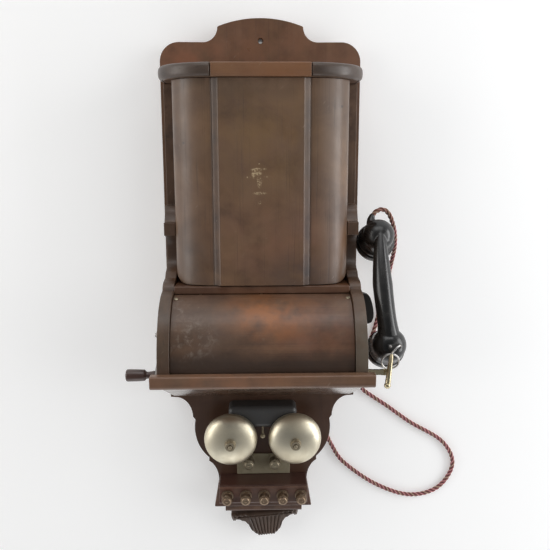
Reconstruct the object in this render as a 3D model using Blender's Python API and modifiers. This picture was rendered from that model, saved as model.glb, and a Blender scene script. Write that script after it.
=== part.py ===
"""Magneto wall telephone, lying on the back of its wall board.

+X points to the side of the switch hook, +Y from the carved crest to the battery cupboard and +Z out of the
wall board. The origin is on the back of the wall board, on its centreline, half way along it. All sizes are in
metres. Hung on a wall, the telephone is turned so that -Y points up.
"""

import math

import bmesh
import bpy
from mathutils import Matrix, Vector

GAP = 0.0003  # clearance between pieces that touch

# Wall board
BOARD_T = 0.020
BOARD_HALF = 0.115
TAIL_Y = 0.274  # shoulders of the tail, at the battery cupboard's end
ARCH_TOP_Y = 0.300
ARCH_R = 0.135
CASE_END_Y = -0.151  # where the wall board narrows towards the crest
CREST_END_Y = -0.2965

# Case
SIDE_OUT = 0.110  # outer faces of the side boards
SIDE_T = 0.0128
SIDE_IN = SIDE_OUT - SIDE_T
SIDE_LOW_Z = 0.034  # front edge of the side boards beside the battery cupboard
MAGNETO_Y = -0.078  # middle of the quarter ellipse that the magneto box's side follows
MAGNETO_Z = 0.093
MAGNETO_A = 0.078
MAGNETO_B = 0.058
PANEL_T = 0.005
PARTITION = (-0.0031, 0.0054)

# Writing slope, hinged beside the wall board
DESK_HALF = 0.1105
DESK_T = 0.0098
DESK_FRONT = (-0.090, 0.1505)
DESK_BACK = (-0.150, 0.0205)
DESK_HINGE = (-0.150, 0.0245)
RAIL_HALF = 0.1165
RAIL_Y = (-0.0900, -0.0756)
RAIL_Z = (0.1513, 0.1620)

# Battery cupboard
COVER_HALF = 0.0964
COVER_Y = (0.0065, 0.2262)
COVER_BACK_Z = 0.0215
COVER_SPRING_Z = 0.066  # where the side of the cover starts to bow
COVER_BOW = 0.029
COVER_FLAT = 0.046  # half width of the flat middle panel
COVER_BEVEL = 0.006
COVER_FRONT_Z = 0.098
COVER_T = 0.005
COVER_CORNER_R = 0.013
BASE_Y = (0.2268, 0.2415)
MOULDING_R = 0.0073
MOULDING_OUT = 0.0050
BASE_HALF = 0.1068
BASE_SPRING_Z = 0.055
MOULDING_SPLIT = 0.052
CELL_R = 0.0300
CELL_Y = (0.012, 0.175)
CELL_X = 0.0325

# Generator and crank
CRANK_Y = -0.052
CRANK_Z = 0.086
CRANK_ANGLE = math.radians(121.5)  # of the arm, from +Y towards +Z
CRANK_ARM = 0.0575
TOOTH_MODULE = 0.00125
MAIN_TEETH = 48
PINION_TEETH = 12
MESH_PLAY = 0.0004
ARMATURE_R = 0.018
SHAFT_R = 0.004
MAGNET_X = (-0.052, -0.024)

# Ringer
GONG_X = 0.0394
GONG_Y = -0.196
GONG_R = 0.0325
GONG_RIM_Z = 0.047
GONG_RISE = 0.017
RINGER_HALF = 0.042
RINGER_Y = (-0.184, -0.1565)
RINGER_TOP_Z = 0.0445
CLAPPER_PIVOT = (0.0, -0.166, 0.0375)
CLAPPER_LENGTH = 0.028

# Hook and handset
HOOK_PIVOT = (0.078, -0.0825, 0.131)
HOOK_BAR = ((0.1368, -0.0610, 0.1365), (0.1338, -0.0930, 0.1365))
RING_R = 0.0093
RING_NEAR = (0.1374, -0.0627, 0.1310)  # the ring's point beside the receiver
HANDSET_TILT = math.radians(26.5)  # the receiver's end is the higher one
HANDSET_TURN = math.radians(2.1)
HANDSET_MOUTH = (0.1350, 0.0564, 0.0544)  # where the transmitter's axis crosses the handle
HANDSET_SPAN = 0.128
CUPS = (("transmitter", 0.0, 0.0182, 0.0212, 0.0226), ("receiver", -HANDSET_SPAN, 0.0188, 0.0202, 0.0217))
HANDLE_R = 0.0112
HANDLE_TOP = 0.0168  # the line along the back of the handle, at its ends

# Cord
CORD_R = 0.0028
CORD_Z = 0.0032
CORD_ROUTE = (
    (0.1336, 0.0828, 0.0446),
    (0.1386, 0.0846, 0.0432),
    (0.1438, 0.0838, 0.0416),
    (0.1484, 0.0802, 0.0398),
    (0.1522, 0.0742, 0.0374),
    (0.1556, 0.0662, 0.0342),
    (0.1586, 0.0568, 0.0300),
    (0.1606, 0.0460, 0.0248),
    (0.1614, 0.0345, 0.0188),
    (0.1611, 0.0235, 0.0124),
    (0.1603, 0.0130, 0.0068),
    (0.1590, 0.0020, 0.0038),
    (0.1565, -0.0110, CORD_Z),
    (0.1500, -0.0400, CORD_Z),
    (0.1420, -0.0720, CORD_Z),
    (0.1320, -0.1000, CORD_Z),
    (0.1240, -0.1240, CORD_Z),
    (0.1236, -0.1385, CORD_Z),
    (0.1300, -0.1505, CORD_Z),
    (0.1430, -0.1605, CORD_Z),
    (0.1620, -0.1735, CORD_Z),
    (0.1928, -0.1962, CORD_Z),
    (0.2360, -0.2235, CORD_Z),
    (0.2515, -0.2560, CORD_Z),
    (0.2330, -0.2890, CORD_Z),
    (0.1950, -0.2990, CORD_Z),
    (0.1490, -0.2825, CORD_Z),
    (0.1065, -0.2510, CORD_Z),
    (0.0905, -0.2270, CORD_Z),
)
NIPPLE_END = Vector((0.1293, 0.0786, 0.0462))
NIPPLE_WAY = Vector((0.60, 0.76, -0.25)).normalized()
GLAND_END = Vector((0.0835, -0.2115, 0.0045))
GLAND_WAY = Vector((0.38, -0.92, -0.05)).normalized()

WOOD = ((0.11, 0.060, 0.036), 0.35, 0.0)
RED_WOOD = ((0.20, 0.085, 0.045), 0.35, 0.0)
DARK_WOOD = ((0.055, 0.035, 0.026), 0.4, 0.0)
NICKEL = ((0.50, 0.46, 0.36), 0.3, 1.0)
BRASS = ((0.55, 0.45, 0.25), 0.35, 1.0)
STEEL = ((0.35, 0.35, 0.36), 0.4, 1.0)
BLACK = ((0.012, 0.012, 0.012), 0.25, 0.0)
COPPER = ((0.45, 0.18, 0.08), 0.5, 0.0)
CARD = ((0.35, 0.28, 0.18), 0.8, 0.0)
TEXTILE = ((0.22, 0.05, 0.06), 0.9, 0.0)


def clear_scene():
    for obj in list(bpy.data.objects):
        bpy.data.objects.remove(obj, do_unlink=True)


def make_collection(name):
    made = bpy.data.collections.new(name)
    bpy.context.scene.collection.children.link(made)
    return made


clear_scene()
PARTS = make_collection("wall_telephone")
CUTTERS = make_collection("cutters")
CUTTERS.hide_render = True


def make_material(name, look):
    colour, roughness, metallic = look
    made = bpy.data.materials.new(name)
    made.use_nodes = True
    shader = made.node_tree.nodes["Principled BSDF"]
    shader.inputs["Base Color"].default_value = (*colour, 1.0)
    shader.inputs["Roughness"].default_value = roughness
    shader.inputs["Metallic"].default_value = metallic
    return made


def finish(obj, look):
    """Gives a piece its own material and rounds its shading."""
    obj.data.materials.clear()
    obj.data.materials.append(make_material(obj.name, look))
    if obj.type == "MESH":
        obj.data.shade_smooth()
        obj.data.set_sharp_from_angle(angle=math.radians(35))
    return obj


def mesh_object(name, build, collection=None):
    """A new object whose mesh is filled by build(bm)."""
    bm = bmesh.new()
    build(bm)
    mesh = bpy.data.meshes.new(name)
    bm.to_mesh(mesh)
    bm.free()
    obj = bpy.data.objects.new(name, mesh)
    (collection or PARTS).objects.link(obj)
    return obj


def box(name, x, y, z, collection=None, bevel=0.0):
    """A block between two values along each axis, with its origin in its middle."""
    size = (x[1] - x[0], y[1] - y[0], z[1] - z[0])

    def build(bm):
        bmesh.ops.create_cube(bm, size=1.0, matrix=Matrix.Diagonal((*size, 1.0)))

    obj = mesh_object(name, build, collection)
    obj.location = ((x[0] + x[1]) / 2, (y[0] + y[1]) / 2, (z[0] + z[1]) / 2)
    if bevel:
        add_bevel(obj, bevel)
    return obj


def add_bevel(obj, width, segments=2, angle=40):
    made = obj.modifiers.new("rounded_edges", "BEVEL")
    made.width = width
    made.segments = segments
    made.limit_method = "ANGLE"
    made.angle_limit = math.radians(angle)
    return made


AXIS_TURN = {
    "x": Matrix.Rotation(math.radians(90), 4, "Y"),
    "-x": Matrix.Rotation(math.radians(-90), 4, "Y"),
    "y": Matrix.Rotation(math.radians(-90), 4, "X"),
    "-y": Matrix.Rotation(math.radians(90), 4, "X"),
    "z": Matrix.Identity(4),
}


def rod(name, radius, length, axis, centre, sides=16, collection=None):
    """A cylinder along a world axis, with its origin in its middle."""

    def build(bm):
        bmesh.ops.create_cone(
            bm, cap_ends=True, segments=sides, radius1=radius, radius2=radius, depth=length
        )

    obj = mesh_object(name, build, collection)
    obj.matrix_world = Matrix.Translation(centre) @ AXIS_TURN[axis]
    return obj


def turned(name, profile, axis, at, steps=20, collection=None):
    """A turned piece. The profile lists (radius, height) down the outer side, and back up a bore if it has one."""
    mesh = bpy.data.meshes.new(name)
    edges = [(i, i + 1) for i in range(len(profile) - 1)]
    if profile[0][0] > 0 and profile[-1] != profile[0]:
        edges.append((len(profile) - 1, 0))
    mesh.from_pydata([(r, 0.0, h) for r, h in profile], edges, [])
    obj = bpy.data.objects.new(name, mesh)
    (collection or PARTS).objects.link(obj)
    obj.matrix_world = Matrix.Translation(at) @ AXIS_TURN[axis]
    spin = obj.modifiers.new("turned", "SCREW")
    spin.steps = steps
    spin.render_steps = steps
    spin.use_merge_vertices = True
    spin.merge_threshold = 0.00005
    return obj


PLANES = {
    "xy": Matrix.Identity(4),
    "yz": Matrix(((0, 0, 1, 0), (1, 0, 0, 0), (0, 1, 0, 0), (0, 0, 0, 1))),
    "xz": Matrix(((1, 0, 0, 0), (0, 0, -1, 0), (0, 1, 0, 0), (0, 0, 0, 1))),
}


def flat(name, outlines, plane, low, high, collection=None):
    """A board cut to one or more closed outlines in a plane, reaching from low to high along its normal."""
    curve = bpy.data.curves.new(name, "CURVE")
    curve.dimensions = "2D"
    curve.fill_mode = "BOTH"
    curve.extrude = (high - low) / 2
    for outline in outlines:
        spline = curve.splines.new("POLY")
        spline.points.add(len(outline) - 1)
        for point, (u, v) in zip(spline.points, outline, strict=True):
            point.co = (u, v, 0.0, 1.0)
        spline.use_cyclic_u = True
    obj = bpy.data.objects.new(name, curve)
    (collection or PARTS).objects.link(obj)
    middle = (low + high) / 2 * (-1 if plane == "xz" else 1)
    obj.matrix_world = PLANES[plane] @ Matrix.Translation((0, 0, middle))
    return as_mesh(obj)


def tube(name, points, radius, resolution=2, radii=None, collection=None):
    """A round bar along points, with closed ends."""
    curve = bpy.data.curves.new(name, "CURVE")
    curve.dimensions = "3D"
    curve.bevel_depth = radius
    curve.bevel_resolution = resolution
    curve.use_fill_caps = True
    spline = curve.splines.new("POLY")
    spline.points.add(len(points) - 1)
    for i, point in enumerate(points):
        spline.points[i].co = (*point, 1.0)
        spline.points[i].radius = radii[i] if radii else 1.0
    obj = bpy.data.objects.new(name, curve)
    (collection or PARTS).objects.link(obj)
    return obj


def strip(name, path, section, y):
    """A moulding along a path in the XZ plane. The section lists (along Y, out of the path's left side)."""
    points = [Vector(p) for p in path]
    across = []
    for before, here, after in zip([points[0], *points], points, [*points[1:], points[-1]], strict=False):
        ways = [(q - p).normalized() for p, q in ((before, here), (here, after)) if q != p]
        mean = sum(ways, Vector((0.0, 0.0))).normalized()
        across.append(Vector((-mean.y, mean.x)) / mean.dot(ways[0]))

    def build(bm):
        rings = []
        for point, side in zip(points, across, strict=True):
            spots = [(point + side * out, along) for along, out in section]
            rings.append([bm.verts.new((spot.x, y + along, spot.y)) for spot, along in spots])
        for low, high in zip(rings, rings[1:], strict=False):
            for i in range(len(section)):
                j = (i + 1) % len(section)
                bm.faces.new((low[i], low[j], high[j], high[i]))
        bm.faces.new(rings[0])
        bm.faces.new(reversed(rings[-1]))
        bmesh.ops.recalc_face_normals(bm, faces=bm.faces)

    return mesh_object(name, build)


def as_mesh(obj):
    """The same piece as a closed mesh, in the curve's place."""
    name, place, collection = obj.name, obj.matrix_world.copy(), obj.users_collection[0]
    bpy.context.view_layer.update()
    evaluated = obj.evaluated_get(bpy.context.evaluated_depsgraph_get())
    mesh = bpy.data.meshes.new_from_object(evaluated)
    bm = bmesh.new()
    bm.from_mesh(mesh)
    bmesh.ops.remove_doubles(bm, verts=bm.verts, dist=0.00001)
    bmesh.ops.recalc_face_normals(bm, faces=bm.faces)
    bm.to_mesh(mesh)
    bm.free()
    bpy.data.objects.remove(obj, do_unlink=True)
    mesh.name = name
    made = bpy.data.objects.new(name, mesh)
    collection.objects.link(made)
    made.matrix_world = place
    return made


def combine(obj, other, operation):
    """Cuts or joins with a helper shape, which stays in the cutters' collection."""
    for collection in list(other.users_collection):
        collection.objects.unlink(other)
    CUTTERS.objects.link(other)
    other.hide_render = True
    other.display_type = "WIRE"
    made = obj.modifiers.new(operation.lower(), "BOOLEAN")
    made.operation = operation
    made.object = other
    return obj


def arc(centre, radii, start, end, count):
    """Points along an ellipse, with angles in degrees."""
    points = []
    for i in range(count + 1):
        angle = math.radians(start + (end - start) * i / count)
        points.append((centre[0] + radii[0] * math.cos(angle), centre[1] + radii[1] * math.sin(angle)))
    return points


def mirrored(half):
    """A closed outline from its half at positive first coordinates, listed from one end to the other."""
    return half + [(-u, v) for u, v in reversed(half) if u > 1e-6]


def smooth_route(points, spacing, fine_spacing, fine_count):
    """Points of a Catmull-Rom curve through the given ones, closer together over the first few."""
    ends = [points[0] * 2 - points[1], *points, points[-1] * 2 - points[-2]]
    dense = []
    for a, b, c, d in zip(ends, ends[1:], ends[2:], ends[3:], strict=False):
        for i in range(20):
            t = i / 20
            dense.append(
                0.5 * (2 * b + (c - a) * t + (2 * a - 5 * b + 4 * c - d) * t**2 + (3 * b - a - 3 * c + d) * t**3)
            )
    dense.append(points[-1])
    total = sum((q - p).length for p, q in zip(dense, dense[1:], strict=False))
    rest = total - fine_spacing * fine_count
    count = round(rest / spacing)
    stops = [fine_spacing * i for i in range(1, fine_count + 1)]
    stops += [total - rest * (count - i) / count for i in range(1, count)]
    chosen, walked = [dense[0]], 0.0
    for p, q in zip(dense, dense[1:], strict=False):
        step = (q - p).length
        while stops and walked + step >= stops[0]:
            chosen.append(p.lerp(q, (stops.pop(0) - walked) / step))
        walked += step
    return [*chosen, dense[-1]]


# ---- wall board and case ----------------------------------------------------------------------------------


def wall_board():
    arch = arc((0, ARCH_TOP_Y - ARCH_R), (ARCH_R, ARCH_R), 90, 69.5, 6)
    corner = BOARD_HALF - 0.022
    outline = [
        *arch,
        *arc((0.0655, 0.2905), (0.0167, 0.0167), 180, 270, 6),
        *arc((corner, TAIL_Y - 0.022), (0.022, 0.022), 90, 0, 6),
        (BOARD_HALF, CASE_END_Y),
        *arc((0.109, -0.178), (0.021, 0.0265), 90, 180, 6),
        (0.0855, -0.1810),
        *arc((0.041, -0.193), (0.0450, 0.051), 12, -52, 7),
        (0.0685, -0.2370),
        *arc((0.0765, -0.2640), (0.0200, 0.0280), 112, 180, 5),
        (0.0565, CREST_END_Y),
    ]
    hole = arc((0.0, 0.275), (0.0026, 0.0026), 0, 330, 11)
    board = flat("wall_board", [mirrored(outline), hole], "xy", 0.0, BOARD_T)
    notch = box("cord_notch", (0.066, 0.096), (-0.224, -0.190), (-0.001, 0.0105), CUTTERS)
    return finish(combine(board, notch, "DIFFERENCE"), WOOD)


def magneto_edge(inset, start=2, end=88, count=10):
    """The magneto box's front in side view, from the partition towards the rail."""
    radii = (MAGNETO_A - inset, MAGNETO_B - inset)
    return arc((MAGNETO_Y, MAGNETO_Z), radii, start, end, count)


def side_board(name, sign):
    end_top = DESK_FRONT[0] + DESK_T + GAP
    end_low = DESK_BACK[0] + DESK_T + GAP
    profile = [
        (BASE_Y[0] - GAP, BOARD_T + GAP),
        (BASE_Y[0] - GAP, SIDE_LOW_Z),
        (0.0910, SIDE_LOW_Z),
        (0.0905, 0.0470),
        (0.0800, 0.0560),
        (0.0730, 0.0600),
        (0.0725, 0.0660),
        (0.0580, 0.0665),
        *arc((0.037, 0.0665), (0.021, 0.0205), 350, 190, 8),
        (0.0105, 0.0700),
        (0.0065, 0.0900),
        (0.0010, 0.0930),
        *magneto_edge(0.0, 8, 90),
        (end_top, MAGNETO_Z + MAGNETO_B),
        (end_low, BOARD_T + GAP),
    ]
    low, high = sorted((sign * SIDE_IN, sign * SIDE_OUT))
    return flat(name, [profile], "yz", low, high)


def side_boards():
    left = side_board("side_board_left", -1)
    bush_hole = rod("bush_hole", 0.0075, 0.04, "x", (-SIDE_OUT, CRANK_Y, CRANK_Z), 20, CUTTERS)
    finish(combine(left, bush_hole, "DIFFERENCE"), WOOD)
    right = side_board("side_board_right", 1)
    slot = box("hook_slot", (0.08, 0.13), (-0.0872, -0.0735), (0.1275, 0.1345), CUTTERS)
    finish(combine(right, slot, "DIFFERENCE"), WOOD)


def partition():
    board = box("partition_board", (-SIDE_IN + GAP, SIDE_IN - GAP), PARTITION, (BOARD_T + GAP, 0.0965))
    return finish(board, RED_WOOD)


def magneto_panel():
    outer = magneto_edge(0.0035, 2, 90, 11)
    inner = magneto_edge(0.0035 + PANEL_T, 90, 3, 11)
    panel = flat("magneto_panel", [outer + inner], "yz", -SIDE_IN + GAP, SIDE_IN - GAP)
    return finish(panel, WOOD)


def desk():
    """The writing slope and its rail, both on the hinge's axis."""
    hinge = bpy.data.objects.new("desk_hinge_axis", None)
    PARTS.objects.link(hinge)
    hinge.location = (0.0, *DESK_HINGE)
    slope = [
        DESK_FRONT,
        DESK_BACK,
        (DESK_BACK[0] + DESK_T, DESK_BACK[1]),
        (DESK_FRONT[0] + DESK_T, DESK_FRONT[1]),
    ]
    board = finish(flat("desk_board", [slope], "yz", -DESK_HALF, DESK_HALF), WOOD)
    rail = box("desk_rail", (-RAIL_HALF, RAIL_HALF), RAIL_Y, RAIL_Z, bevel=0.003)
    for piece in (board, finish(rail, RED_WOOD)):
        keep_place(piece, hinge)


def keep_place(piece, parent):
    """Parents a piece to an empty and leaves it where it is."""
    bpy.context.view_layer.update()
    place = piece.matrix_world.copy()
    piece.parent = parent
    piece.matrix_parent_inverse = parent.matrix_world.inverted()
    piece.matrix_world = place


# ---- battery cupboard -------------------------------------------------------------------------------------


def cover_outline(inset):
    """The cover's section, inset evenly, open side down at its back."""
    half = COVER_HALF - inset
    back = COVER_BACK_Z - (0.01 if inset else 0.0)
    bow = arc((COVER_FLAT + COVER_BEVEL, COVER_SPRING_Z), (half - COVER_FLAT - COVER_BEVEL, COVER_BOW - inset), 90, 0, 9)
    return mirrored([(COVER_FLAT, COVER_FRONT_Z - inset), *bow, (half, back)])


def battery_cover():
    cover = flat("battery_cover", [cover_outline(0.0)], "xz", *COVER_Y)
    r = COVER_CORNER_R
    lower, upper = COVER_Y
    plan = [
        (0.0, lower),
        *arc((COVER_HALF - r, lower + r), (r + 0.0001, r), 270, 360, 5),
        (COVER_HALF + 0.0001, upper + 0.01),
        (0.0, upper + 0.01),
    ]
    rounding = flat("cover_rounding", [mirrored(plan)], "xy", 0.0, 0.12, CUTTERS)
    combine(cover, rounding, "INTERSECT")
    hollow = flat("cover_hollow", [cover_outline(COVER_T)], "xz", lower + COVER_T, upper - COVER_T, CUTTERS)
    corners = [
        (0.0, lower + COVER_T),
        *arc((COVER_HALF - r, lower + r), (r - COVER_T, r - COVER_T), 270, 360, 4),
        (COVER_HALF - COVER_T + 0.001, upper),
        (0.0, upper),
    ]
    combine(hollow, flat("hollow_rounding", [mirrored(corners)], "xy", -0.01, 0.12, CUTTERS), "INTERSECT")
    return finish(combine(cover, hollow, "DIFFERENCE"), WOOD)


def base_edge(outset, start, count=8):
    """The base board's bowed front from the side of the middle moulding round to the wall board."""
    half = BASE_HALF + outset
    centre = (MOULDING_SPLIT, BASE_SPRING_Z)
    radii = (half - MOULDING_SPLIT, COVER_FRONT_Z + outset - BASE_SPRING_Z)
    return arc(centre, radii, start, 0, count)


def battery_base():
    half = [(0.0, COVER_FRONT_Z), *base_edge(0.0, 90), (BASE_HALF, BOARD_T + GAP)]
    finish(flat("base_board", [mirrored(half)], "xz", *BASE_Y), WOOD)
    middle = (BASE_Y[0] + BASE_Y[1]) / 2
    section = arc((0.0, 0.0), (MOULDING_R, MOULDING_OUT), 0, 180, 6)

    def moulding(name, path, look):
        return finish(strip(name, path, section, middle), look)

    front = COVER_FRONT_Z + GAP
    moulding("base_moulding_middle", [(-MOULDING_SPLIT, front), (MOULDING_SPLIT, front)], RED_WOOD)
    corner = base_edge(GAP, 89)
    down = [(BASE_HALF + GAP, BOARD_T + GAP)]
    moulding("base_moulding_right", corner + down, DARK_WOOD)
    moulding("base_moulding_left", [(-u, v) for u, v in reversed(corner + down)], DARK_WOOD)


def dry_cells():
    length = CELL_Y[1] - CELL_Y[0]
    for name, x in (("dry_cell_left", -CELL_X), ("dry_cell_right", CELL_X)):
        at = (x, CELL_Y[0], BOARD_T + CELL_R + 0.001)
        profile = [(0.0, length), (0.007, length), (0.007, length - 0.004), (CELL_R, length - 0.004)]
        finish(turned(name, [*profile, (CELL_R, 0.0), (0.0, 0.0)], "y", at, 20), CARD)


# ---- generator and crank ----------------------------------------------------------------------------------


def gear_outline(teeth, phase):
    """Straight-flanked teeth in the YZ plane about the gear's own middle."""
    pitch = TOOTH_MODULE * teeth / 2
    step = 2 * math.pi / teeth
    outline = []
    for i in range(teeth):
        middle = (i + phase) * step
        for radius, share in ((pitch - 1.2 * TOOTH_MODULE, -0.40), (pitch + 0.9 * TOOTH_MODULE, -0.11)):
            outline.append((radius, middle + share * step))
        for radius, share in ((pitch + 0.9 * TOOTH_MODULE, 0.11), (pitch - 1.2 * TOOTH_MODULE, 0.40)):
            outline.append((radius, middle + share * step))
    return [(r * math.cos(a), r * math.sin(a)) for r, a in outline]


def moved(outline, centre):
    return [(u + centre[0], v + centre[1]) for u, v in outline]


def circle(centre, radius, count=16):
    return arc(centre, (radius, radius), 0, 360 - 360 / count, count - 1)


def armature_centre():
    distance = TOOTH_MODULE * (MAIN_TEETH + PINION_TEETH) / 2 + MESH_PLAY
    return (CRANK_Y, CRANK_Z - distance)


def generator():
    crank = (CRANK_Y, CRANK_Z)
    rotor = armature_centre()
    main = [moved(gear_outline(MAIN_TEETH, 0.0), crank), circle(crank, SHAFT_R + GAP)]
    finish(flat("main_gear", main, "yz", -0.0900, -0.0830), BRASS)
    armature = rod("armature", ARMATURE_R, 0.058, "x", (-0.036, *rotor), 20)
    shaft = rod("armature_shaft", 0.0030, 0.094, "x", (-0.0440, *rotor), 12, CUTTERS)
    pinion = flat("pinion", [moved(gear_outline(PINION_TEETH, 0.5), rotor)], "yz", -0.0905, -0.0825, CUTTERS)
    combine(armature, shaft, "UNION")
    finish(combine(armature, pinion, "UNION"), STEEL)
    for name, x, holes in (
        ("generator_plate_left", -0.0745, [circle(rotor, 0.0034, 12), circle(crank, SHAFT_R + GAP)]),
        ("generator_plate_right", -0.0005, [circle(rotor, 0.0034, 12)]),
    ):
        plate = arc((CRANK_Y, 0.070), (0.033, 0.033), 0, 180, 8)
        plate += [(CRANK_Y - 0.033, BOARD_T + GAP), (CRANK_Y + 0.033, BOARD_T + GAP)]
        finish(flat(name, [plate, *holes], "yz", x - 0.0015, x + 0.0015), BRASS)
    for i, x in enumerate(MAGNET_X):
        outer = arc((CRANK_Y, 0.088), (0.031, 0.031), 0, 180, 10)
        inner = arc((CRANK_Y, 0.088), (0.0195, 0.0195), 180, 0, 10)
        foot = BOARD_T + 0.002
        horseshoe = [
            (CRANK_Y + 0.031, foot),
            *outer,
            (CRANK_Y - 0.031, foot),
            (CRANK_Y - 0.0195, foot),
            *inner,
            (CRANK_Y + 0.0195, foot),
        ]
        finish(flat(f"magnet_{i + 1}", [horseshoe], "yz", x - 0.008, x + 0.008), STEEL)


def crank():
    """Shaft, arm and grip. The grip turns on the pin at the arm's end."""
    end_y = CRANK_Y + CRANK_ARM * math.cos(CRANK_ANGLE)
    end_z = CRANK_Z + CRANK_ARM * math.sin(CRANK_ANGLE)
    bore = SHAFT_R + GAP
    bush_profile = [
        (0.0105, 0.0030),
        (0.0105, 0.0),
        (0.0070, 0.0),
        (0.0070, -0.0125),
        (bore, -0.0125),
        (bore, 0.0030),
    ]
    bush = turned("crank_bush", bush_profile, "x", (-SIDE_IN + GAP, CRANK_Y, CRANK_Z))
    finish(bush, BRASS)
    shaft = rod("crank_shaft", SHAFT_R, 0.0395, "x", (-0.0908, CRANK_Y, CRANK_Z), 16)
    finish(shaft, STEEL)
    direction = Vector((0.0, math.cos(CRANK_ANGLE), math.sin(CRANK_ANGLE)))
    side = Vector((0.0, -direction.z, direction.y))

    def corner(along, across):
        point = direction * along + side * across
        return (CRANK_Y + point.y, CRANK_Z + point.z)

    angle = math.degrees(CRANK_ANGLE)
    outline = [
        *moved(arc((0, 0), (0.0075, 0.0075), angle + 90, angle + 270, 8), (CRANK_Y, CRANK_Z)),
        corner(CRANK_ARM * 0.5, -0.0042),
        *moved(arc((0, 0), (0.0050, 0.0050), angle - 90, angle + 90, 6), (end_y, end_z)),
        corner(CRANK_ARM * 0.5, 0.0042),
    ]
    arm = flat("crank_arm", [outline], "yz", -0.1140, -0.1109)
    boss = rod("crank_boss", 0.0052, 0.0095, "x", (-0.1160, CRANK_Y, CRANK_Z), 14, CUTTERS)
    combine(arm, boss, "UNION")
    pin = rod("grip_pin", 0.0022, 0.0330, "x", (-0.1290, end_y, end_z), 12, CUTTERS)
    finish(combine(arm, pin, "UNION"), STEEL)
    bore = 0.0022 + GAP
    grip_profile = [
        (bore, 0.0306),
        (0.0046, 0.0306),
        (0.0046, 0.0285),
        (0.0036, 0.0240),
        (0.0040, 0.0215),
        (0.0060, 0.0200),
        (0.0066, 0.0030),
        (0.0064, 0.0008),
        (0.0054, 0.0),
        (bore, 0.0),
    ]
    grip = turned("crank_grip", grip_profile, "x", (-0.1450, end_y, end_z), 18)
    finish(grip, DARK_WOOD)


# ---- ringer, terminals and crest --------------------------------------------------------------------------


def gong_profile(offset):
    """Dome line of a gong from its hub to its rim."""
    points = []
    for i in range(9):
        angle = math.radians(8 + 82 * i / 8)
        radius = (GONG_R - offset) * math.sin(angle)
        points.append((radius, (GONG_RISE - offset) * math.cos(angle) ** 0.8))
    return points


def ringer():
    for side, x in (("left", -GONG_X), ("right", GONG_X)):
        outer = gong_profile(0.0)
        inner = gong_profile(0.0018)
        hub = 0.0029
        profile = [(hub, GONG_RISE), *outer, *reversed(inner), (hub, GONG_RISE - 0.0022)]
        finish(turned(f"gong_{side}", profile, "z", (x, GONG_Y, GONG_RIM_Z), 28), NICKEL)
        base = BOARD_T + GAP
        top = GONG_RIM_Z + GONG_RISE - base
        post = [
            (0.0, top + 0.0085),
            (0.0022, top + 0.0085),
            (0.0022, top - 0.0030),
            (0.0045, top - 0.0035),
            (0.0045, 0.0040),
            (0.0085, 0.0040),
            (0.0085, 0.0),
            (0.0, 0.0),
        ]
        finish(turned(f"gong_post_{side}", post, "z", (x, GONG_Y, base), 12), BRASS)
        nut = [(0.0026, 0.0068), (0.0052, 0.0068), (0.0061, 0.0060), (0.0061, 0.0012), (0.0069, 0.0), (0.0026, 0.0)]
        finish(turned(f"gong_nut_{side}", nut, "z", (x, GONG_Y, GONG_RIM_Z + GONG_RISE + GAP), 14), NICKEL)
    coil_z = (BOARD_T + 0.0026, RINGER_TOP_Z - 0.0035)
    height = coil_z[1] - coil_z[0]
    for side, x in (("left", -0.016), ("right", 0.016)):
        spool = [
            (0.0, height),
            (0.0100, height),
            (0.0100, height - 0.0012),
            (0.0088, height - 0.0012),
            (0.0088, 0.0012),
            (0.0100, 0.0012),
            (0.0100, 0.0),
            (0.0, 0.0),
        ]
        finish(turned(f"ringer_coil_{side}", spool, "z", (x, -0.1705, coil_z[0]), 16), COPPER)
    finish(box("ringer_yoke", (-0.028, 0.028), (-0.1790, -0.1620), (BOARD_T + GAP, BOARD_T + 0.0023)), STEEL)
    ringer_cover()
    clapper()


def ringer_cover():
    z = (BOARD_T - 0.008, RINGER_TOP_Z)
    cover = box("ringer_cover", (-RINGER_HALF, RINGER_HALF), RINGER_Y, z)
    add_bevel(cover, 0.007, 3)
    wall = 0.0015
    inside = (RINGER_Y[0] + wall, RINGER_Y[1] - wall)
    hollow = box(
        "ringer_hollow", (-RINGER_HALF + wall, RINGER_HALF - wall), inside, (BOARD_T - 0.01, RINGER_TOP_Z - wall), CUTTERS
    )
    add_bevel(hollow, 0.0055, 3)
    trim = box("ringer_trim", (-0.06, 0.06), (-0.2, -0.14), (BOARD_T + GAP, 0.06), CUTTERS)
    combine(cover, trim, "INTERSECT")
    combine(cover, hollow, "DIFFERENCE")
    slot = box("clapper_slot", (-0.006, 0.006), (-0.19, -0.178), (0.0335, 0.0415), CUTTERS)
    finish(combine(cover, slot, "DIFFERENCE"), BLACK)


def clapper():
    """The hammer turns about a pin beside the coils and strikes between the gongs."""
    x, y, z = CLAPPER_PIVOT
    ball_z = 0.0440
    rod_points = [(x, y + 0.004, z), (x, y - 0.014, z), (x, y - 0.021, z + 0.003), (x, y - CLAPPER_LENGTH, ball_z)]
    hammer = as_mesh(tube("clapper", rod_points, 0.0012, 1))
    hammer.location -= Vector(CLAPPER_PIVOT)

    def build(bm):
        at = Matrix.Translation((0.0, -CLAPPER_LENGTH, ball_z - z))
        bmesh.ops.create_uvsphere(bm, u_segments=12, v_segments=8, radius=0.0031, matrix=at)

    shift_origin(hammer, Vector(CLAPPER_PIVOT))
    ball = mesh_object("clapper_ball", build, CUTTERS)
    ball.location = CLAPPER_PIVOT
    finish(combine(hammer, ball, "UNION"), NICKEL)


def shift_origin(obj, origin):
    """Bakes an object's place into its mesh, with its origin at a joint's axis."""
    bpy.context.view_layer.update()
    obj.location = (0.0, 0.0, 0.0)
    obj.data.transform(Matrix.Translation(-origin))
    obj.location = origin


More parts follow.
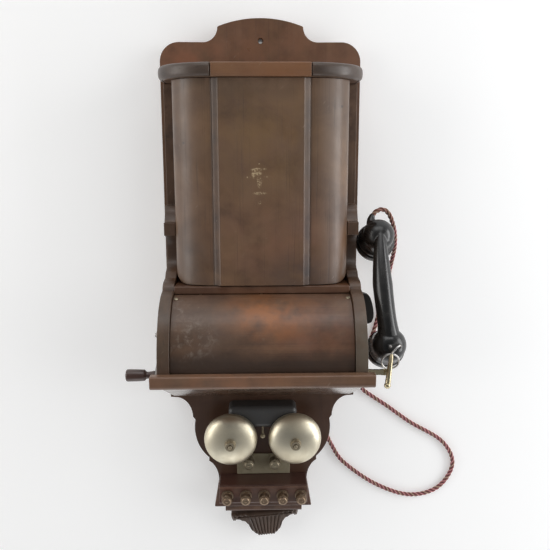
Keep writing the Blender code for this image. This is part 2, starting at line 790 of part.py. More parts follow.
def knurled_terminal(name, at, height, radius):
    profile = [
        (0.0, height),
        (radius * 0.62, height),
        (radius * 0.70, height - 0.0012),
        (radius * 0.92, height - 0.0018),
        (radius, height - 0.0032),
        (radius, 0.0045),
        (radius * 0.80, 0.0040),
        (radius * 1.12, 0.0014),
        (radius * 1.12, 0.0),
        (0.0, 0.0),
    ]
    return finish(turned(name, profile, "z", at, 14), BRASS)


def arrester():
    plate = box("arrester_plate", (-0.0330, 0.0345), (-0.2555, -0.2285), (BOARD_T + GAP, BOARD_T + 0.0028))
    finish(plate, NICKEL)
    for side, x in (("left", -0.0177), ("right", 0.0150)):
        knurled_terminal(f"arrester_terminal_{side}", (x, -0.2355, BOARD_T + 0.0028 + GAP), 0.0180, 0.0071)


def terminal_strip():
    base = mirrored([(0.0, -0.2625), (0.0566, -0.2625), (0.0622, CREST_END_Y), (0.0, CREST_END_Y)])
    board = flat("terminal_base", [base], "xy", BOARD_T + GAP, 0.0310)
    finish(board, WOOD)
    front, back, top = -0.2560, -0.2780, 0.0560
    section = [
        (front, BOARD_T + GAP),
        (front, top - 0.0042),
        (front - 0.0012, top - 0.0036),
        (front, top - 0.0030),
        (front - 0.0006, top),
        (back, top),
        (back, 0.0313),
        (-0.2622, 0.0313),
        (-0.2622, BOARD_T + GAP),
    ]
    finish(flat("terminal_block", [section], "yz", -0.0545, 0.0550), RED_WOOD)
    for i in range(5):
        at = (0.0012 + 0.0227 * (i - 2), -0.2668, top + GAP)
        knurled_terminal(f"line_terminal_{i + 1}", at, 0.0150, 0.0066)


def crest():
    y = (-0.3066, CREST_END_Y - GAP)
    moulding = box("crest_moulding", (-0.0485, 0.0500), y, (0.001, 0.0255), bevel=0.0012)
    finish(moulding, DARK_WOOD)
    half = [
        (0.0, 0.0),
        (0.0437, 0.0),
        (0.0436, -0.0050),
        (0.0420, -0.0090),
        (0.0388, -0.0092),
        (0.0369, -0.0075),
        (0.0324, -0.0093),
        (0.0262, -0.0124),
        (0.0222, -0.0163),
        (0.0203, -0.0219),
        (0.0179, -0.0267),
        (0.0132, -0.0306),
        (0.0102, -0.0333),
        (0.0, -0.0333),
    ]
    carving = flat("crest_carving", [mirrored(half)], "xy", 0.003, 0.022)
    carving.rotation_euler = (0.0, 0.0, math.radians(5.2))
    carving.location += Vector((0.0017, -0.3112, 0.0))
    finish(carving, DARK_WOOD)


# ---- hook, handset and cord -------------------------------------------------------------------------------


def hook():
    x, y, z = HOOK_PIVOT
    arm = box("hook_lever", (x - 0.006, 0.1335), (y - 0.0035, y + 0.0035), (z - 0.0006, z + 0.002))
    shift_hook = [Vector(p) for p in HOOK_BAR]
    bar = tube("hook_bar", [shift_hook[0], shift_hook[1]], 0.0026, 2, [0.75, 1.15], CUTTERS)
    bar = as_mesh(bar)

    def build(bm):
        bmesh.ops.create_uvsphere(bm, u_segments=14, v_segments=9, radius=0.0036)

    ball = mesh_object("hook_ball", build, CUTTERS)
    ball.location = shift_hook[1] + Vector((-0.0004, -0.0030, 0.0))
    neck = rod("hook_neck", 0.0032, 0.0061, "z", (0.1330, y, z + 0.00245), 12, CUTTERS)
    for helper in (neck, bar, ball):
        combine(arm, helper, "UNION")
    finish(arm, BRASS)
    pin = rod("hook_pin", 0.0030, 0.0104, "z", (x, y, z - 0.0061), 12)
    finish(pin, STEEL)
    finish(box("switch_springs", (0.0800, 0.0940), (-0.0700, -0.0580), (0.1000, 0.1240)), BRASS)


def rest_bracket():
    outline = [
        (SIDE_OUT + GAP, -0.0080),
        (0.1165, -0.0080),
        (0.1255, -0.0165),
        (0.1290, -0.0350),
        (0.1250, -0.0430),
        (SIDE_OUT + GAP, -0.0460),
    ]
    finish(flat("handset_rest", [outline], "xy", 0.0660, 0.0740), BLACK)


def handset_frame():
    """An empty at the transmitter: its +Y runs along the handle past the transmitter, its +Z out of the back."""
    frame = bpy.data.objects.new("handset_frame", None)
    PARTS.objects.link(frame)
    frame.matrix_world = (
        Matrix.Translation(HANDSET_MOUTH)
        @ Matrix.Rotation(HANDSET_TURN, 4, "Z")
        @ Matrix.Rotation(-HANDSET_TILT, 4, "X")
    )
    bpy.context.view_layer.update()
    return frame


def cup_profile(waist, radius):
    """The round back of a cup, its waist and the flange that meets the cap."""
    dome = ((0.0, 0.0165), (0.34, 0.0158), (0.64, 0.0132), (0.88, 0.0082), (0.98, 0.0030), (1.0, -0.0040))
    foot = [(waist * 1.02, -0.0105), (radius, -0.0135), (radius, -0.0205), (0.0, -0.0205)]
    return [(waist * r, h) for r, h in dome] + foot


def cap_profile(radius, inner):
    """The screwed cap, with a groove round it and a dished front."""
    top = -0.0205 - GAP
    return [
        (0.0, top),
        (inner + 0.0006, top),
        (radius, top - 0.0022),
        (radius, -0.0312),
        (radius - 0.0020, -0.0332),
        (0.0150, -0.0332),
        (0.0060, -0.0308),
        (0.0, -0.0308),
    ]


def handset():
    frame = handset_frame()
    points, radii = [], []
    for i in range(17):
        t = i / 16
        swell = min(1.0, 2 * t + 0.02) ** 0.35 - 0.05 * max(0.0, math.sin(math.pi * (2 * t - 1)))
        bow = math.sin(math.pi * t)
        top = HANDLE_TOP + 0.0018 * bow - 0.02 * max(0.0, t - 0.9)
        radii.append(swell)
        points.append((-0.0022 * bow, -t * (HANDSET_SPAN - 0.002), top - HANDLE_R * swell))
    handle = as_mesh(tube("handset_handle", points, HANDLE_R, 3, radii))
    pieces = [handle]
    for side, y, waist, cup_radius, cap_radius in CUPS:
        cup = turned(f"{side}_cup", cup_profile(waist, cup_radius), "z", (0.0, y, 0.0), 20, CUTTERS)
        combine(handle, cup, "UNION")
        cup.parent = frame
        cap = turned(f"{side}_cap", cap_profile(cap_radius, cup_radius), "z", (0.0, y, 0.0), 24)
        pieces.append(finish(cap, BLACK))
    inward = frame.matrix_world.inverted()
    nipple_points = [inward @ (NIPPLE_END - NIPPLE_WAY * 0.015), inward @ NIPPLE_END]
    nipple = tube("cord_nipple", nipple_points, 0.0045, 2, [1.4, 0.72], CUTTERS)
    nipple = as_mesh(nipple)
    nipple.parent = frame
    combine(handle, nipple, "UNION")
    finish(handle, BLACK)
    pieces.append(hanger())
    for piece in pieces:
        piece.parent = frame


def hanger():
    """A plate over the receiver's back with a neck that holds a ring, in the handset's own frame."""
    frame = bpy.data.objects["handset_frame"]
    inward = frame.matrix_world.inverted()
    back = 0.0173
    y = -HANDSET_SPAN
    plate = box("handset_hanger", (-0.0050, 0.0095), (y - 0.0080, y - 0.0025), (back, back + 0.0020))
    slope = math.radians(14.5)
    near = Vector(RING_NEAR)
    away = Vector((0.0, -math.cos(slope), -math.sin(slope)))
    middle = near + away * RING_R
    points = [
        inward @ (middle + away * (RING_R * math.cos(a)) + Vector((RING_R * math.sin(a), 0.0, 0.0)))
        for a in ring_angles(24)
    ]
    ring = tube("hanger_ring", points, 0.0012, 1, collection=CUTTERS)
    ring.data.splines[0].use_cyclic_u = True
    ring = as_mesh(ring)
    wire = [Vector((0.0076, y - 0.0045, back + 0.0012)), Vector((0.0030, y - 0.0080, back + 0.0022))]
    wire.append(inward @ (near - away * 0.0008))
    neck = as_mesh(tube("hanger_neck", wire, 0.0015, 2, collection=CUTTERS))
    for helper in (neck, ring):
        combine(plate, helper, "UNION")
        helper.parent = frame
    return finish(plate, STEEL)


def ring_angles(count):
    return [2 * math.pi * i / count for i in range(count)]


def cord():
    start = NIPPLE_END + NIPPLE_WAY * GAP
    end = GLAND_END + GLAND_WAY * GAP
    route = [start + NIPPLE_WAY * 0.002, *[Vector(p) for p in CORD_ROUTE], end + GLAND_WAY * 0.003]
    points = [start, *smooth_route(route, 0.0115, 0.0050, 12), end]
    finish(tube("handset_cord", points, CORD_R, 2), TEXTILE)
    gland = tube("cord_gland", [GLAND_END - GLAND_WAY * 0.010, GLAND_END], 0.0042, 2)
    finish(as_mesh(gland), BLACK)


def induction_coil():
    finish(rod("induction_coil", 0.0130, 0.0600, "y", (0.0700, -0.0560, 0.0360), 16), COPPER)


def panel_screws():
    """Round heads square to the magneto box's front, at its upper corners."""
    angle = math.radians(15)
    a, b = MAGNETO_A - 0.0035, MAGNETO_B - 0.0035
    spot = Vector((0.0, MAGNETO_Y + a * math.cos(angle), MAGNETO_Z + b * math.sin(angle)))
    out = Vector((0.0, math.cos(angle) / a, math.sin(angle) / b)).normalized()
    turn = Vector((0, 0, 1)).rotation_difference(out).to_matrix().to_4x4()
    head = [(0.0, 0.0010), (0.0016, 0.0009), (0.0026, 0.0002), (0.0026, 0.0), (0.0, 0.0)]
    for side, x in (("left", -0.0935), ("right", 0.0935)):
        screw = turned(f"panel_screw_{side}", head, "z", (0, 0, 0), 12)
        screw.matrix_world = Matrix.Translation(spot + out * GAP + Vector((x, 0, 0))) @ turn
        finish(screw, BRASS)


wall_board()
side_boards()
partition()
magneto_panel()
desk()
battery_cover()
battery_base()
dry_cells()
generator()
crank()
ringer()
arrester()
terminal_strip()
crest()
hook()
rest_bracket()
handset()
cord()
induction_coil()
panel_screws()
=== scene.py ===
import math

import bmesh
import bpy
from mathutils import Matrix, Vector


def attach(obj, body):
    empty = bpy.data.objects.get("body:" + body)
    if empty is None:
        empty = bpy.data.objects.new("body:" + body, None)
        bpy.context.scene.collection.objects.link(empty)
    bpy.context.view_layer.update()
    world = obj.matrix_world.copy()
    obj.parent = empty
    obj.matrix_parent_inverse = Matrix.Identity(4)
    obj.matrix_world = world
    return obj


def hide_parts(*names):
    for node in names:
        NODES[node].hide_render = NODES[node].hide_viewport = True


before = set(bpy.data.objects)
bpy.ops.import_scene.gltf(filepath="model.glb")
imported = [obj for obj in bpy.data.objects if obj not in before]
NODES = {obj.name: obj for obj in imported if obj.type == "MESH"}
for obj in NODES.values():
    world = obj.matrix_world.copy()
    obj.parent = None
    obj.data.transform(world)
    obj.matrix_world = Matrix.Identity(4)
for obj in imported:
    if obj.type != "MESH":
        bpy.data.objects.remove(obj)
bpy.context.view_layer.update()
GAP = 0.0003

# ---- camera and light ----


def camera():
    data = bpy.data.cameras.new("camera")
    data.sensor_width = 36.0
    data.lens = 640 / 550 * 36.0
    data.clip_start = 0.05
    obj = bpy.data.objects.new("camera", data)
    bpy.context.scene.collection.objects.link(obj)
    right = Vector((0.99963, -0.00209, 0.02701))
    up = Vector((0.00698, 0.98326, -0.18205))
    back = Vector((-0.02618, 0.18217, 0.98292))
    turn = Matrix((right, up, back)).transposed().to_4x4()
    obj.matrix_world = Matrix.Translation((-0.00424, 0.14574, 0.78633)) @ turn
    bpy.context.scene.camera = obj


def area_light(name, place, target, size, power, colour=(1.0, 1.0, 1.0)):
    data = bpy.data.lights.new(name, "AREA")
    data.shape = "RECTANGLE"
    data.size, data.size_y = size
    data.energy = power
    data.color = colour
    obj = bpy.data.objects.new(name, data)
    bpy.context.scene.collection.objects.link(obj)
    way = Vector(target) - Vector(place)
    obj.matrix_world = Matrix.Translation(place) @ way.to_track_quat("-Z", "Y").to_matrix().to_4x4()


def studio():
    """Pale walls all round, a darker ceiling, and soft boxes low at the sides."""
    world = bpy.data.worlds.new("studio")
    bpy.context.scene.world = world
    world.use_nodes = True
    tree = world.node_tree
    shade = tree.nodes["Background"]
    shade.inputs["Color"].default_value = (0.975, 0.985, 1.0, 1.0)
    way = tree.nodes.new("ShaderNodeTexCoord")
    height = tree.nodes.new("ShaderNodeSeparateXYZ")
    fall = tree.nodes.new("ShaderNodeMapRange")
    fall.inputs["From Min"].default_value = 0.0
    fall.inputs["From Max"].default_value = 0.85
    fall.inputs["To Min"].default_value = 1.05
    fall.inputs["To Max"].default_value = 0.16
    tree.links.new(way.outputs["Generated"], height.inputs[0])
    tree.links.new(height.outputs["Z"], fall.inputs["Value"])
    tree.links.new(fall.outputs[0], shade.inputs["Strength"])
    area_light("right_box", (1.25, 0.10, 0.50), (0.0, 0.0, 0.06), (1.5, 0.40), 8.8)
    area_light("right_high", (1.10, 0.30, 1.10), (0.0, 0.0, 0.05), (0.9, 0.9), 3.0)
    area_light("left_box", (-1.25, 0.25, 0.60), (0.0, 0.0, 0.06), (1.3, 0.6), 6.5, (1.0, 0.97, 0.93))
    area_light("far_box", (0.0, 1.5, 0.95), (0.0, 0.0, 0.05), (1.4, 0.6), 4.5)
    area_light("near_box", (0.1, -1.4, 0.80), (0.0, -0.1, 0.05), (1.2, 0.5), 2.5)
    bpy.context.scene.view_settings.view_transform = "Standard"
    bpy.context.scene.view_settings.look = "None"


# ---- materials ----


class Look:
    """A material under construction, with short calls for its nodes."""

    def __init__(self, name, rough=0.4, metal=0.0, **sockets):
        self.material = bpy.data.materials.new(name)
        self.material.use_nodes = True
        self.tree = self.material.node_tree
        self.shader = self.tree.nodes["Principled BSDF"]
        self.set("Roughness", rough)
        self.set("Metallic", metal)
        for socket, value in sockets.items():
            self.set(socket.replace("_", " "), value)
        self.at = self.tree.nodes.new("ShaderNodeTexCoord").outputs["Object"]

    def fill(self, socket, value):
        if isinstance(value, bpy.types.NodeSocket):
            self.tree.links.new(value, socket)
        else:
            socket.default_value = value

    def set(self, socket, value):
        self.fill(self.shader.inputs[socket], value)

    def put(self, kind, inputs, **settings):
        node = self.tree.nodes.new("ShaderNode" + kind)
        for key, value in settings.items():
            setattr(node, key, value)
        for key, value in inputs.items():
            self.fill(node.inputs[key], value)
        return node

    def stretched(self, scale, at=None):
        return self.put("Mapping", {"Vector": at or self.at, "Scale": scale}).outputs[0]

    def noise(self, scale, detail=3.0, rough=0.55, distortion=0.0, at=None):
        inputs = {"Vector": at or self.at, "Scale": scale, "Detail": detail}
        inputs.update({"Roughness": rough, "Distortion": distortion})
        return self.put("TexNoise", inputs).outputs["Fac"]

    def wave(self, scale, distortion, direction, at=None, detail=2.0, detail_scale=1.0):
        inputs = {"Vector": at or self.at, "Scale": scale, "Distortion": distortion, "Detail": detail}
        inputs["Detail Scale"] = detail_scale
        return self.put("TexWave", inputs, bands_direction=direction).outputs["Fac"]

    def ramp(self, value, stops):
        node = self.put("ValToRGB", {"Fac": value})
        bar = node.color_ramp
        while len(bar.elements) < len(stops):
            bar.elements.new(0.5)
        for element, (spot, colour) in zip(bar.elements, stops, strict=True):
            element.position = spot
            element.color = (*colour, 1.0) if isinstance(colour, tuple) else (colour, colour, colour, 1.0)
        return node.outputs["Color"]

    def span(self, value, low, high, to_low=0.0, to_high=1.0):
        inputs = {"Value": value, "From Min": low, "From Max": high, "To Min": to_low, "To Max": to_high}
        return self.put("MapRange", inputs).outputs[0]

    def maths(self, operation, first, second=0.0):
        return self.put("Math", {0: first, 1: second}, operation=operation).outputs[0]

    def plus(self, first, second):
        return self.maths("ADD", first, second)

    def minus(self, first, second):
        return self.maths("SUBTRACT", first, second)

    def times(self, first, second):
        return self.maths("MULTIPLY", first, second)

    def mix(self, share, first, second):
        node = self.put("Mix", {}, data_type="RGBA", blend_type="MIX")
        for key, value in ((0, share), (6, first), (7, second)):
            self.fill(node.inputs[key], (*value, 1.0) if isinstance(value, tuple) else value)
        return node.outputs[2]

    def tint(self, mask, amount, colour, tone):
        """The colour, moved by an amount towards a tone where the mask is 1."""
        return self.mix(self.times(mask, amount), colour, tone)

    def near(self, centre, radii, soft=0.5):
        """1 inside an ellipsoid, falling to 0 outside it."""
        shift = self.put("VectorMath", {0: self.at, 1: centre}, operation="SUBTRACT").outputs[0]
        inverse = tuple(1.0 / r for r in radii)
        scaled = self.put("VectorMath", {0: shift, 1: inverse}, operation="MULTIPLY").outputs[0]
        length = self.put("VectorMath", {0: scaled}, operation="LENGTH").outputs["Value"]
        return self.span(length, 1.0 + soft, 1.0 - soft)

    def axis(self, name):
        return self.put("SeparateXYZ", {0: self.at}).outputs[name]

    def bump(self, height, strength=0.3, distance=0.0004):
        node = self.put("Bump", {"Height": height, "Strength": strength, "Distance": distance})
        self.set("Normal", node.outputs[0])


GRAIN = {"x": (0.045, 1.0, 1.0), "y": (1.0, 0.045, 1.0), "z": (1.0, 1.0, 0.045)}


def wood(
    name, dark, middle, light, grain="y", rough=0.40, blotch=(0.09, 0.052, 0.04), patches=(), scuffs=0.0,
    **extra
):
    """Old varnished wood: figure and pores along the grain, stains, edges lightened as rubbed wear and as a
    painted highlight, fine scratches, and painted shade along one axis where asked.
    """
    look = Look(name, rough)
    look.set("Coat Weight", extra.get("coat", 0.22))
    look.set("Coat Roughness", 0.24)
    along = look.stretched(GRAIN[grain])
    figure = look.noise(42, 4, 0.6, 0.9, along)
    bands = look.wave(16, 7.0, "X" if grain != "x" else "Y", along, 3.0, 1.6)
    streaks = look.plus(look.times(figure, 0.9), look.times(bands, 0.1))
    calm = extra.get("calm", 0.25)
    mixed = look.plus(look.times(streaks, 1.0 - calm), 0.5 * calm)
    cloud = look.times(
        look.minus(look.noise(extra.get("cloud_scale", 24), 4, 0.6, 0.4), 0.5), extra.get("cloud", 0.6)
    )
    colour = look.ramp(look.plus(mixed, cloud), [(0.26, dark), (0.48, middle), (0.76, light)])
    pores = look.noise(
        620, 2, 0.6, 0.0, look.stretched(tuple(0.35 * s if s < 1 else s for s in GRAIN[grain]))
    )
    pore = look.span(pores, 0.58, 0.72)
    colour = look.tint(pore, 0.38, colour, tuple(0.35 * c for c in dark))
    stain = look.span(look.noise(13, 3, 0.6, 0.3), 0.42, 0.68)
    colour = look.tint(stain, 0.55, colour, blotch)
    cool = look.span(look.noise(9.5, 2, 0.5, 0.2, look.stretched((1.0, 0.8, 1.3))), 0.48, 0.70)
    colour = look.tint(cool, 0.30, colour, extra.get("cool", (0.068, 0.050, 0.036)))
    for centre, radii, tint, share in patches:
        mask = look.times(look.near(centre, radii, 0.6), look.span(look.noise(38, 3, 0.6), 0.30, 0.62))
        colour = look.tint(mask, share, colour, tint)
    # Convex edges lightened: rubbed wear, and in part a painted highlight along the arrises.
    edge = look.span(look.put("NewGeometry", {}).outputs["Pointiness"], 0.515, 0.60)
    edge = look.times(edge, look.span(look.noise(70, 3, 0.65), 0.35, 0.70))
    colour = look.tint(edge, 0.55, colour, extra.get("worn", (0.21, 0.125, 0.078)))
    scratch_at = look.stretched(
        (1.0, 0.22, 1.0), look.put("Mapping", {"Vector": look.at, "Rotation": (0.3, 0.2, 0.7)}).outputs[0]
    )
    scratch = look.span(look.noise(330, 2, 0.5, 0.0, scratch_at), 0.69, 0.76)
    scratch = look.times(scratch, look.span(look.noise(26, 2), 0.50, 0.66))
    colour = look.tint(scratch, 0.5, colour, (0.26, 0.19, 0.14))
    if scuffs:
        for centre, radii in extra["scuff_at"]:
            rub = look.times(
                look.near(centre, radii, 0.7), look.span(look.noise(150, 4, 0.7, 0.6), 0.50, 0.70)
            )
            colour = look.tint(rub, scuffs, colour, (0.30, 0.25, 0.21))
    # Painted shade: past a given height along one axis the colour is pulled towards a darker tint, with a
    # little wobble.
    if "shade" in extra:
        axis, low, high, tint, share = extra["shade"]
        wobble = look.plus(look.axis(axis), look.times(look.minus(look.noise(30, 3), 0.5), 0.012))
        colour = look.mix(look.times(look.span(wobble, low, high), share), colour, tint)
    if "gilding" in extra:
        colour = gilded(look, colour, *extra["gilding"])
    look.set("Base Color", colour)
    sheen = look.plus(
        look.span(stain, 0, 1, -0.05, 0.07),
        look.span(look.noise(55, 3), 0.3, 0.7, rough - 0.05, rough + 0.07)
    )
    look.set("Roughness", look.plus(sheen, look.times(pore, 0.10)))
    height = look.minus(look.times(figure, 0.25), look.times(pore, 0.5))
    height = look.plus(height, look.times(look.noise(85, 3), 0.5))
    look.bump(height, 0.22, 0.0005)
    return look.material


def gilded(look, colour, centre, rows):
    """The last flecks of a rubbed-off gold transfer: short broken bars, with nothing to read in them."""
    gone = look.span(look.noise(520, 3, 0.7), 0.44, 0.54)
    kept = look.times(gone, look.span(look.noise(150, 2, 0.6, 0.5), 0.38, 0.52))
    for dx, dy, half_x, half_y in rows:
        spot = (centre[0] + dx, centre[1] + dy, centre[2])
        mask = look.times(look.near(spot, (half_x, half_y, 0.01), 0.35), kept)
        colour = look.tint(mask, 0.75, colour, (0.52, 0.40, 0.24))
    return colour


def metal(
    name, clean, tarnish, rough=0.26, grime=0.5, scale=60, fine=500, bump=0.12, pits=0.45, dirt=0.6,
    shine=1.0
):
    look = Look(name, rough, shine)
    cloud = look.span(look.noise(scale, 4, 0.62, 0.4), 0.36, 0.68)
    colour = look.mix(look.times(cloud, grime), clean, tarnish)
    specks = look.span(look.noise(fine, 3, 0.7), 0.62, 0.72)
    colour = look.tint(specks, pits, colour, tuple(0.45 * c for c in tarnish))
    hollow = look.span(look.put("NewGeometry", {}).outputs["Pointiness"], 0.485, 0.42)
    colour = look.tint(hollow, dirt, colour, tuple(0.25 * c for c in tarnish))
    look.set("Base Color", colour)
    look.set(
        "Roughness",
        look.plus(look.span(cloud, 0, 1, rough - 0.04, rough + 0.14), look.times(specks, 0.4 * pits))
    )
    look.bump(look.noise(fine * 0.7, 3, 0.6), bump, 0.0002)
    return look.material


def smooth_black(name, tone, rough, dust=0.25, brown=(0.05, 0.035, 0.025)):
    """Ebonite or black enamel, with dust, a few rubs and a soft gloss."""
    look = Look(name, rough)
    cloud = look.span(look.noise(45, 4, 0.6, 0.5), 0.40, 0.70)
    colour = look.mix(look.times(cloud, dust), (tone, tone, tone * 1.02), brown)
    edge = look.span(look.put("NewGeometry", {}).outputs["Pointiness"], 0.52, 0.62)
    colour = look.tint(edge, 0.35, colour, (0.10, 0.09, 0.08))
    rub = look.span(look.noise(260, 3, 0.65), 0.66, 0.74)
    colour = look.tint(rub, 0.3, colour, (0.11, 0.10, 0.09))
    look.set("Base Color", colour)
    look.set(
        "Roughness", look.plus(look.span(cloud, 0, 1, rough - 0.03, rough + 0.12), look.times(rub, 0.2))
    )
    look.bump(look.noise(170, 4, 0.6), 0.10, 0.0003)
    return look.material


def card_look():
    look = Look("cell_card", 0.75)
    fibres = look.noise(700, 3, 0.7, 0.0, look.stretched((1.0, 0.3, 1.0)))
    colour = look.ramp(fibres, [(0.30, (0.20, 0.145, 0.085)), (0.70, (0.40, 0.31, 0.20))])
    stain = look.span(look.noise(28, 4, 0.65, 0.5), 0.50, 0.72)
    colour = look.tint(stain, 0.6, colour, (0.10, 0.065, 0.035))
    seam = look.span(look.wave(9.0, 0.4, "Y"), 0.94, 0.99)
    colour = look.tint(seam, 0.35, colour, (0.10, 0.07, 0.045))
    look.set("Base Color", colour)
    look.bump(fibres, 0.3, 0.0004)
    return look.material


def wire_look():
    """Cotton-covered copper wire, wound close."""
    look = Look("wound_wire", 0.6)
    turns = look.wave(230, 0.3, "Z")
    colour = look.ramp(
        turns, [(0.15, (0.035, 0.045, 0.028)), (0.6, (0.13, 0.15, 0.09)), (1.0, (0.20, 0.21, 0.14))]
    )
    colour = look.mix(look.span(look.noise(40, 3), 0.5, 0.7), colour, (0.10, 0.075, 0.04))
    look.set("Base Color", colour)
    look.bump(turns, 0.6, 0.0004)
    return look.material


def cord_look():
    """Plaited cotton: two red strands and one flecked with tan, browner where it has been handled, with
    painted shade in the crevices between strands and a painted highlight along their crowns.
    """
    look = Look("plaited_cord", 0.85)
    look.set("Sheen Weight", 0.25)
    run = look.put("UVMap", {}, uv_map="run").outputs[0]
    strand = look.put("SeparateXYZ", {0: run}).outputs["Y"]
    threads = look.wave(1.0, 0.6, "DIAGONAL", look.stretched((700.0, 1.6, 1.0), run))
    red = look.ramp(
        threads, [(0.0, (0.200, 0.028, 0.044)), (0.5, (0.48, 0.105, 0.125)), (1.0, (0.68, 0.27, 0.27))]
    )
    flecked = look.ramp(
        threads, [(0.0, (0.120, 0.045, 0.028)), (0.5, (0.34, 0.17, 0.11)), (1.0, (0.62, 0.45, 0.28))]
    )
    colour = look.mix(look.span(strand, 15.0, 15.1), red, flecked)
    tan_spots = look.noise(1.0, 2, 0.5, 0.0, look.stretched((260.0, 0.9, 1.0), run))
    colour = look.mix(look.span(tan_spots, 0.60, 0.66), colour, (0.40, 0.27, 0.16))
    across = look.put("Math", {0: strand}, operation="FRACT").outputs[0]
    outward = look.times(look.maths("ABSOLUTE", look.minus(across, 0.5)), 2.0)
    # Painted shade: the inner side of each strand, in the crevices of the plait, is darkened.
    colour = look.mix(look.span(outward, 0.55, 0.80), (0.150, 0.028, 0.034), colour)
    # Painted highlight: the outermost crown of each strand is lightened to pink.
    crown_highlight = look.span(outward, 0.84, 0.99)
    colour = look.tint(crown_highlight, 0.70, colour, (0.86, 0.58, 0.52))
    brown = look.mix(look.times(threads, 0.8), (0.070, 0.030, 0.014), (0.34, 0.19, 0.085))
    handled = look.near((0.1420, 0.0820, 0.0410), (0.022, 0.022, 0.022), 0.5)
    colour = look.tint(handled, 0.6, colour, brown)
    fuzz = look.span(look.noise(1400, 2), 0.55, 0.75)
    colour = look.tint(fuzz, 0.2, colour, (0.50, 0.36, 0.32))
    look.set("Base Color", colour)
    look.bump(threads, 0.6, 0.0004)
    return look.material


# ---- geometry helpers ----


def arc(centre, radii, start, end, count):
    points = []
    for i in range(count + 1):
        angle = math.radians(start + (end - start) * i / count)
        points.append((centre[0] + radii[0] * math.cos(angle), centre[1] + radii[1] * math.sin(angle)))
    return points


def mirrored(half):
    return half + [(-u, v) for u, v in reversed(half) if u > 1e-6]


def softened(points, passes=2):
    """Corners of an open line cut twice over, as a moulding plane leaves them."""
    for _ in range(passes):
        cut = [points[0]]
        for (a, b), (c, d) in zip(points, points[1:], strict=False):
            cut += [(a * 0.75 + c * 0.25, b * 0.75 + d * 0.25), (a * 0.25 + c * 0.75, b * 0.25 + d * 0.75)]
        points = [*cut, points[-1]]
    return points


def new_mesh(name, build):
    bm = bmesh.new()
    build(bm)
    mesh = bpy.data.meshes.new(name)
    bm.to_mesh(mesh)
    bm.free()
    obj = bpy.data.objects.new(name, mesh)
    bpy.context.scene.collection.objects.link(obj)
    return obj


def rounded(obj, width, segments=3, angle=30):
    """Rounded edges, shaded evenly."""
    if width:
        edge = obj.modifiers.new("edges", "BEVEL")
        edge.width = width
        edge.segments = segments
        edge.limit_method = "ANGLE"
        edge.angle_limit = math.radians(angle)
        edge.use_clamp_overlap = True
    obj.data.shade_smooth()
    if width:
        even = obj.modifiers.new("shading", "WEIGHTED_NORMAL")
        even.keep_sharp = True
        even.weight = 80
    else:
        obj.data.set_sharp_from_angle(angle=math.radians(angle))
    return obj


PLACE = {"xy": lambda u, v, w: (u, v, w), "yz": lambda u, v, w: (w, u, v), "xz": lambda u, v, w: (u, w, v),}


def bridge(bm, low, high, closed=True):
    """Faces between two rings of vertices, or between two open lines of them."""
    count = len(low)
    faces = []
    for i in range(count if closed else count - 1):
        j = (i + 1) % count
        faces.append(bm.faces.new((low[i], low[j], high[j], high[i])))
    return faces


def add_slab(bm, outline, spot, low, high):
    """A flat slab; spot(u, v, w) is where the point (u, v) of its outline lies at the height w."""
    rings = [[bm.verts.new(spot(u, v, w)) for u, v in outline] for w in (low, high)]
    bm.faces.new(rings[0])
    bm.faces.new(rings[1])
    bridge(bm, *rings)
    bmesh.ops.recalc_face_normals(bm, faces=bm.faces)


def cut_board(name, outline, plane, low, high):
    """A board with one outline in a plane, between two values along its normal."""
    return new_mesh(name, lambda bm: add_slab(bm, outline, PLACE[plane], low, high))


def block(name, x, y, z):
    return cut_board(name, [(x[0], y[0]), (x[1], y[0]), (x[1], y[1]), (x[0], y[1])], "xy", *z)


TURN = {
    "x": Matrix.Rotation(math.radians(90), 4, "Y"), "y": Matrix.Rotation(math.radians(-90), 4, "X"),
    "z": Matrix.Identity(4)
}


def add_turned(bm, profile, matrix, steps=48, knurl=None):
    """A turned form of (radius, height) rings; knurl = (first, last, depth) cuts teeth into those rings."""
    rings = []
    for i, (radius, height) in enumerate(profile):
        if radius < 1e-7:
            rings.append([bm.verts.new(matrix @ Vector((0.0, 0.0, height)))])
            continue
        ring = []
        for k in range(steps):
            cut = knurl[2] if knurl and knurl[0] <= i <= knurl[1] and k % 2 else 0.0
            angle = 2 * math.pi * k / steps
            spot = Vector(((radius - cut) * math.cos(angle), (radius - cut) * math.sin(angle), height))
            ring.append(bm.verts.new(matrix @ spot))
        rings.append(ring)
    closed = len(rings[0]) > 1 and len(rings[-1]) > 1
    pairs = list(zip(rings, rings[1:], strict=False)) + ([(rings[-1], rings[0])] if closed else [])
    faces = []
    for a, b in pairs:
        for k in range(steps):
            j = (k + 1) % steps
            if len(a) == 1:
                faces.append(bm.faces.new((a[0], b[k], b[j])))
            elif len(b) == 1:
                faces.append(bm.faces.new((a[k], b[0], a[j])))
            else:
                faces.append(bm.faces.new((a[k], b[k], b[j], a[j])))
    bmesh.ops.recalc_face_normals(bm, faces=faces)


def turned(name, profile, axis, at, steps=48, knurl=None, bevel=0.0):
    matrix = Matrix.Translation(at) @ (TURN[axis] if isinstance(axis, str) else axis)
    obj = new_mesh(name, lambda bm: add_turned(bm, profile, matrix, steps, knurl))
    return rounded(obj, bevel, 2, 28)


def around(way):
    way = Vector(way).normalized()
    side = way.orthogonal().normalized()
    return side, way.cross(side)


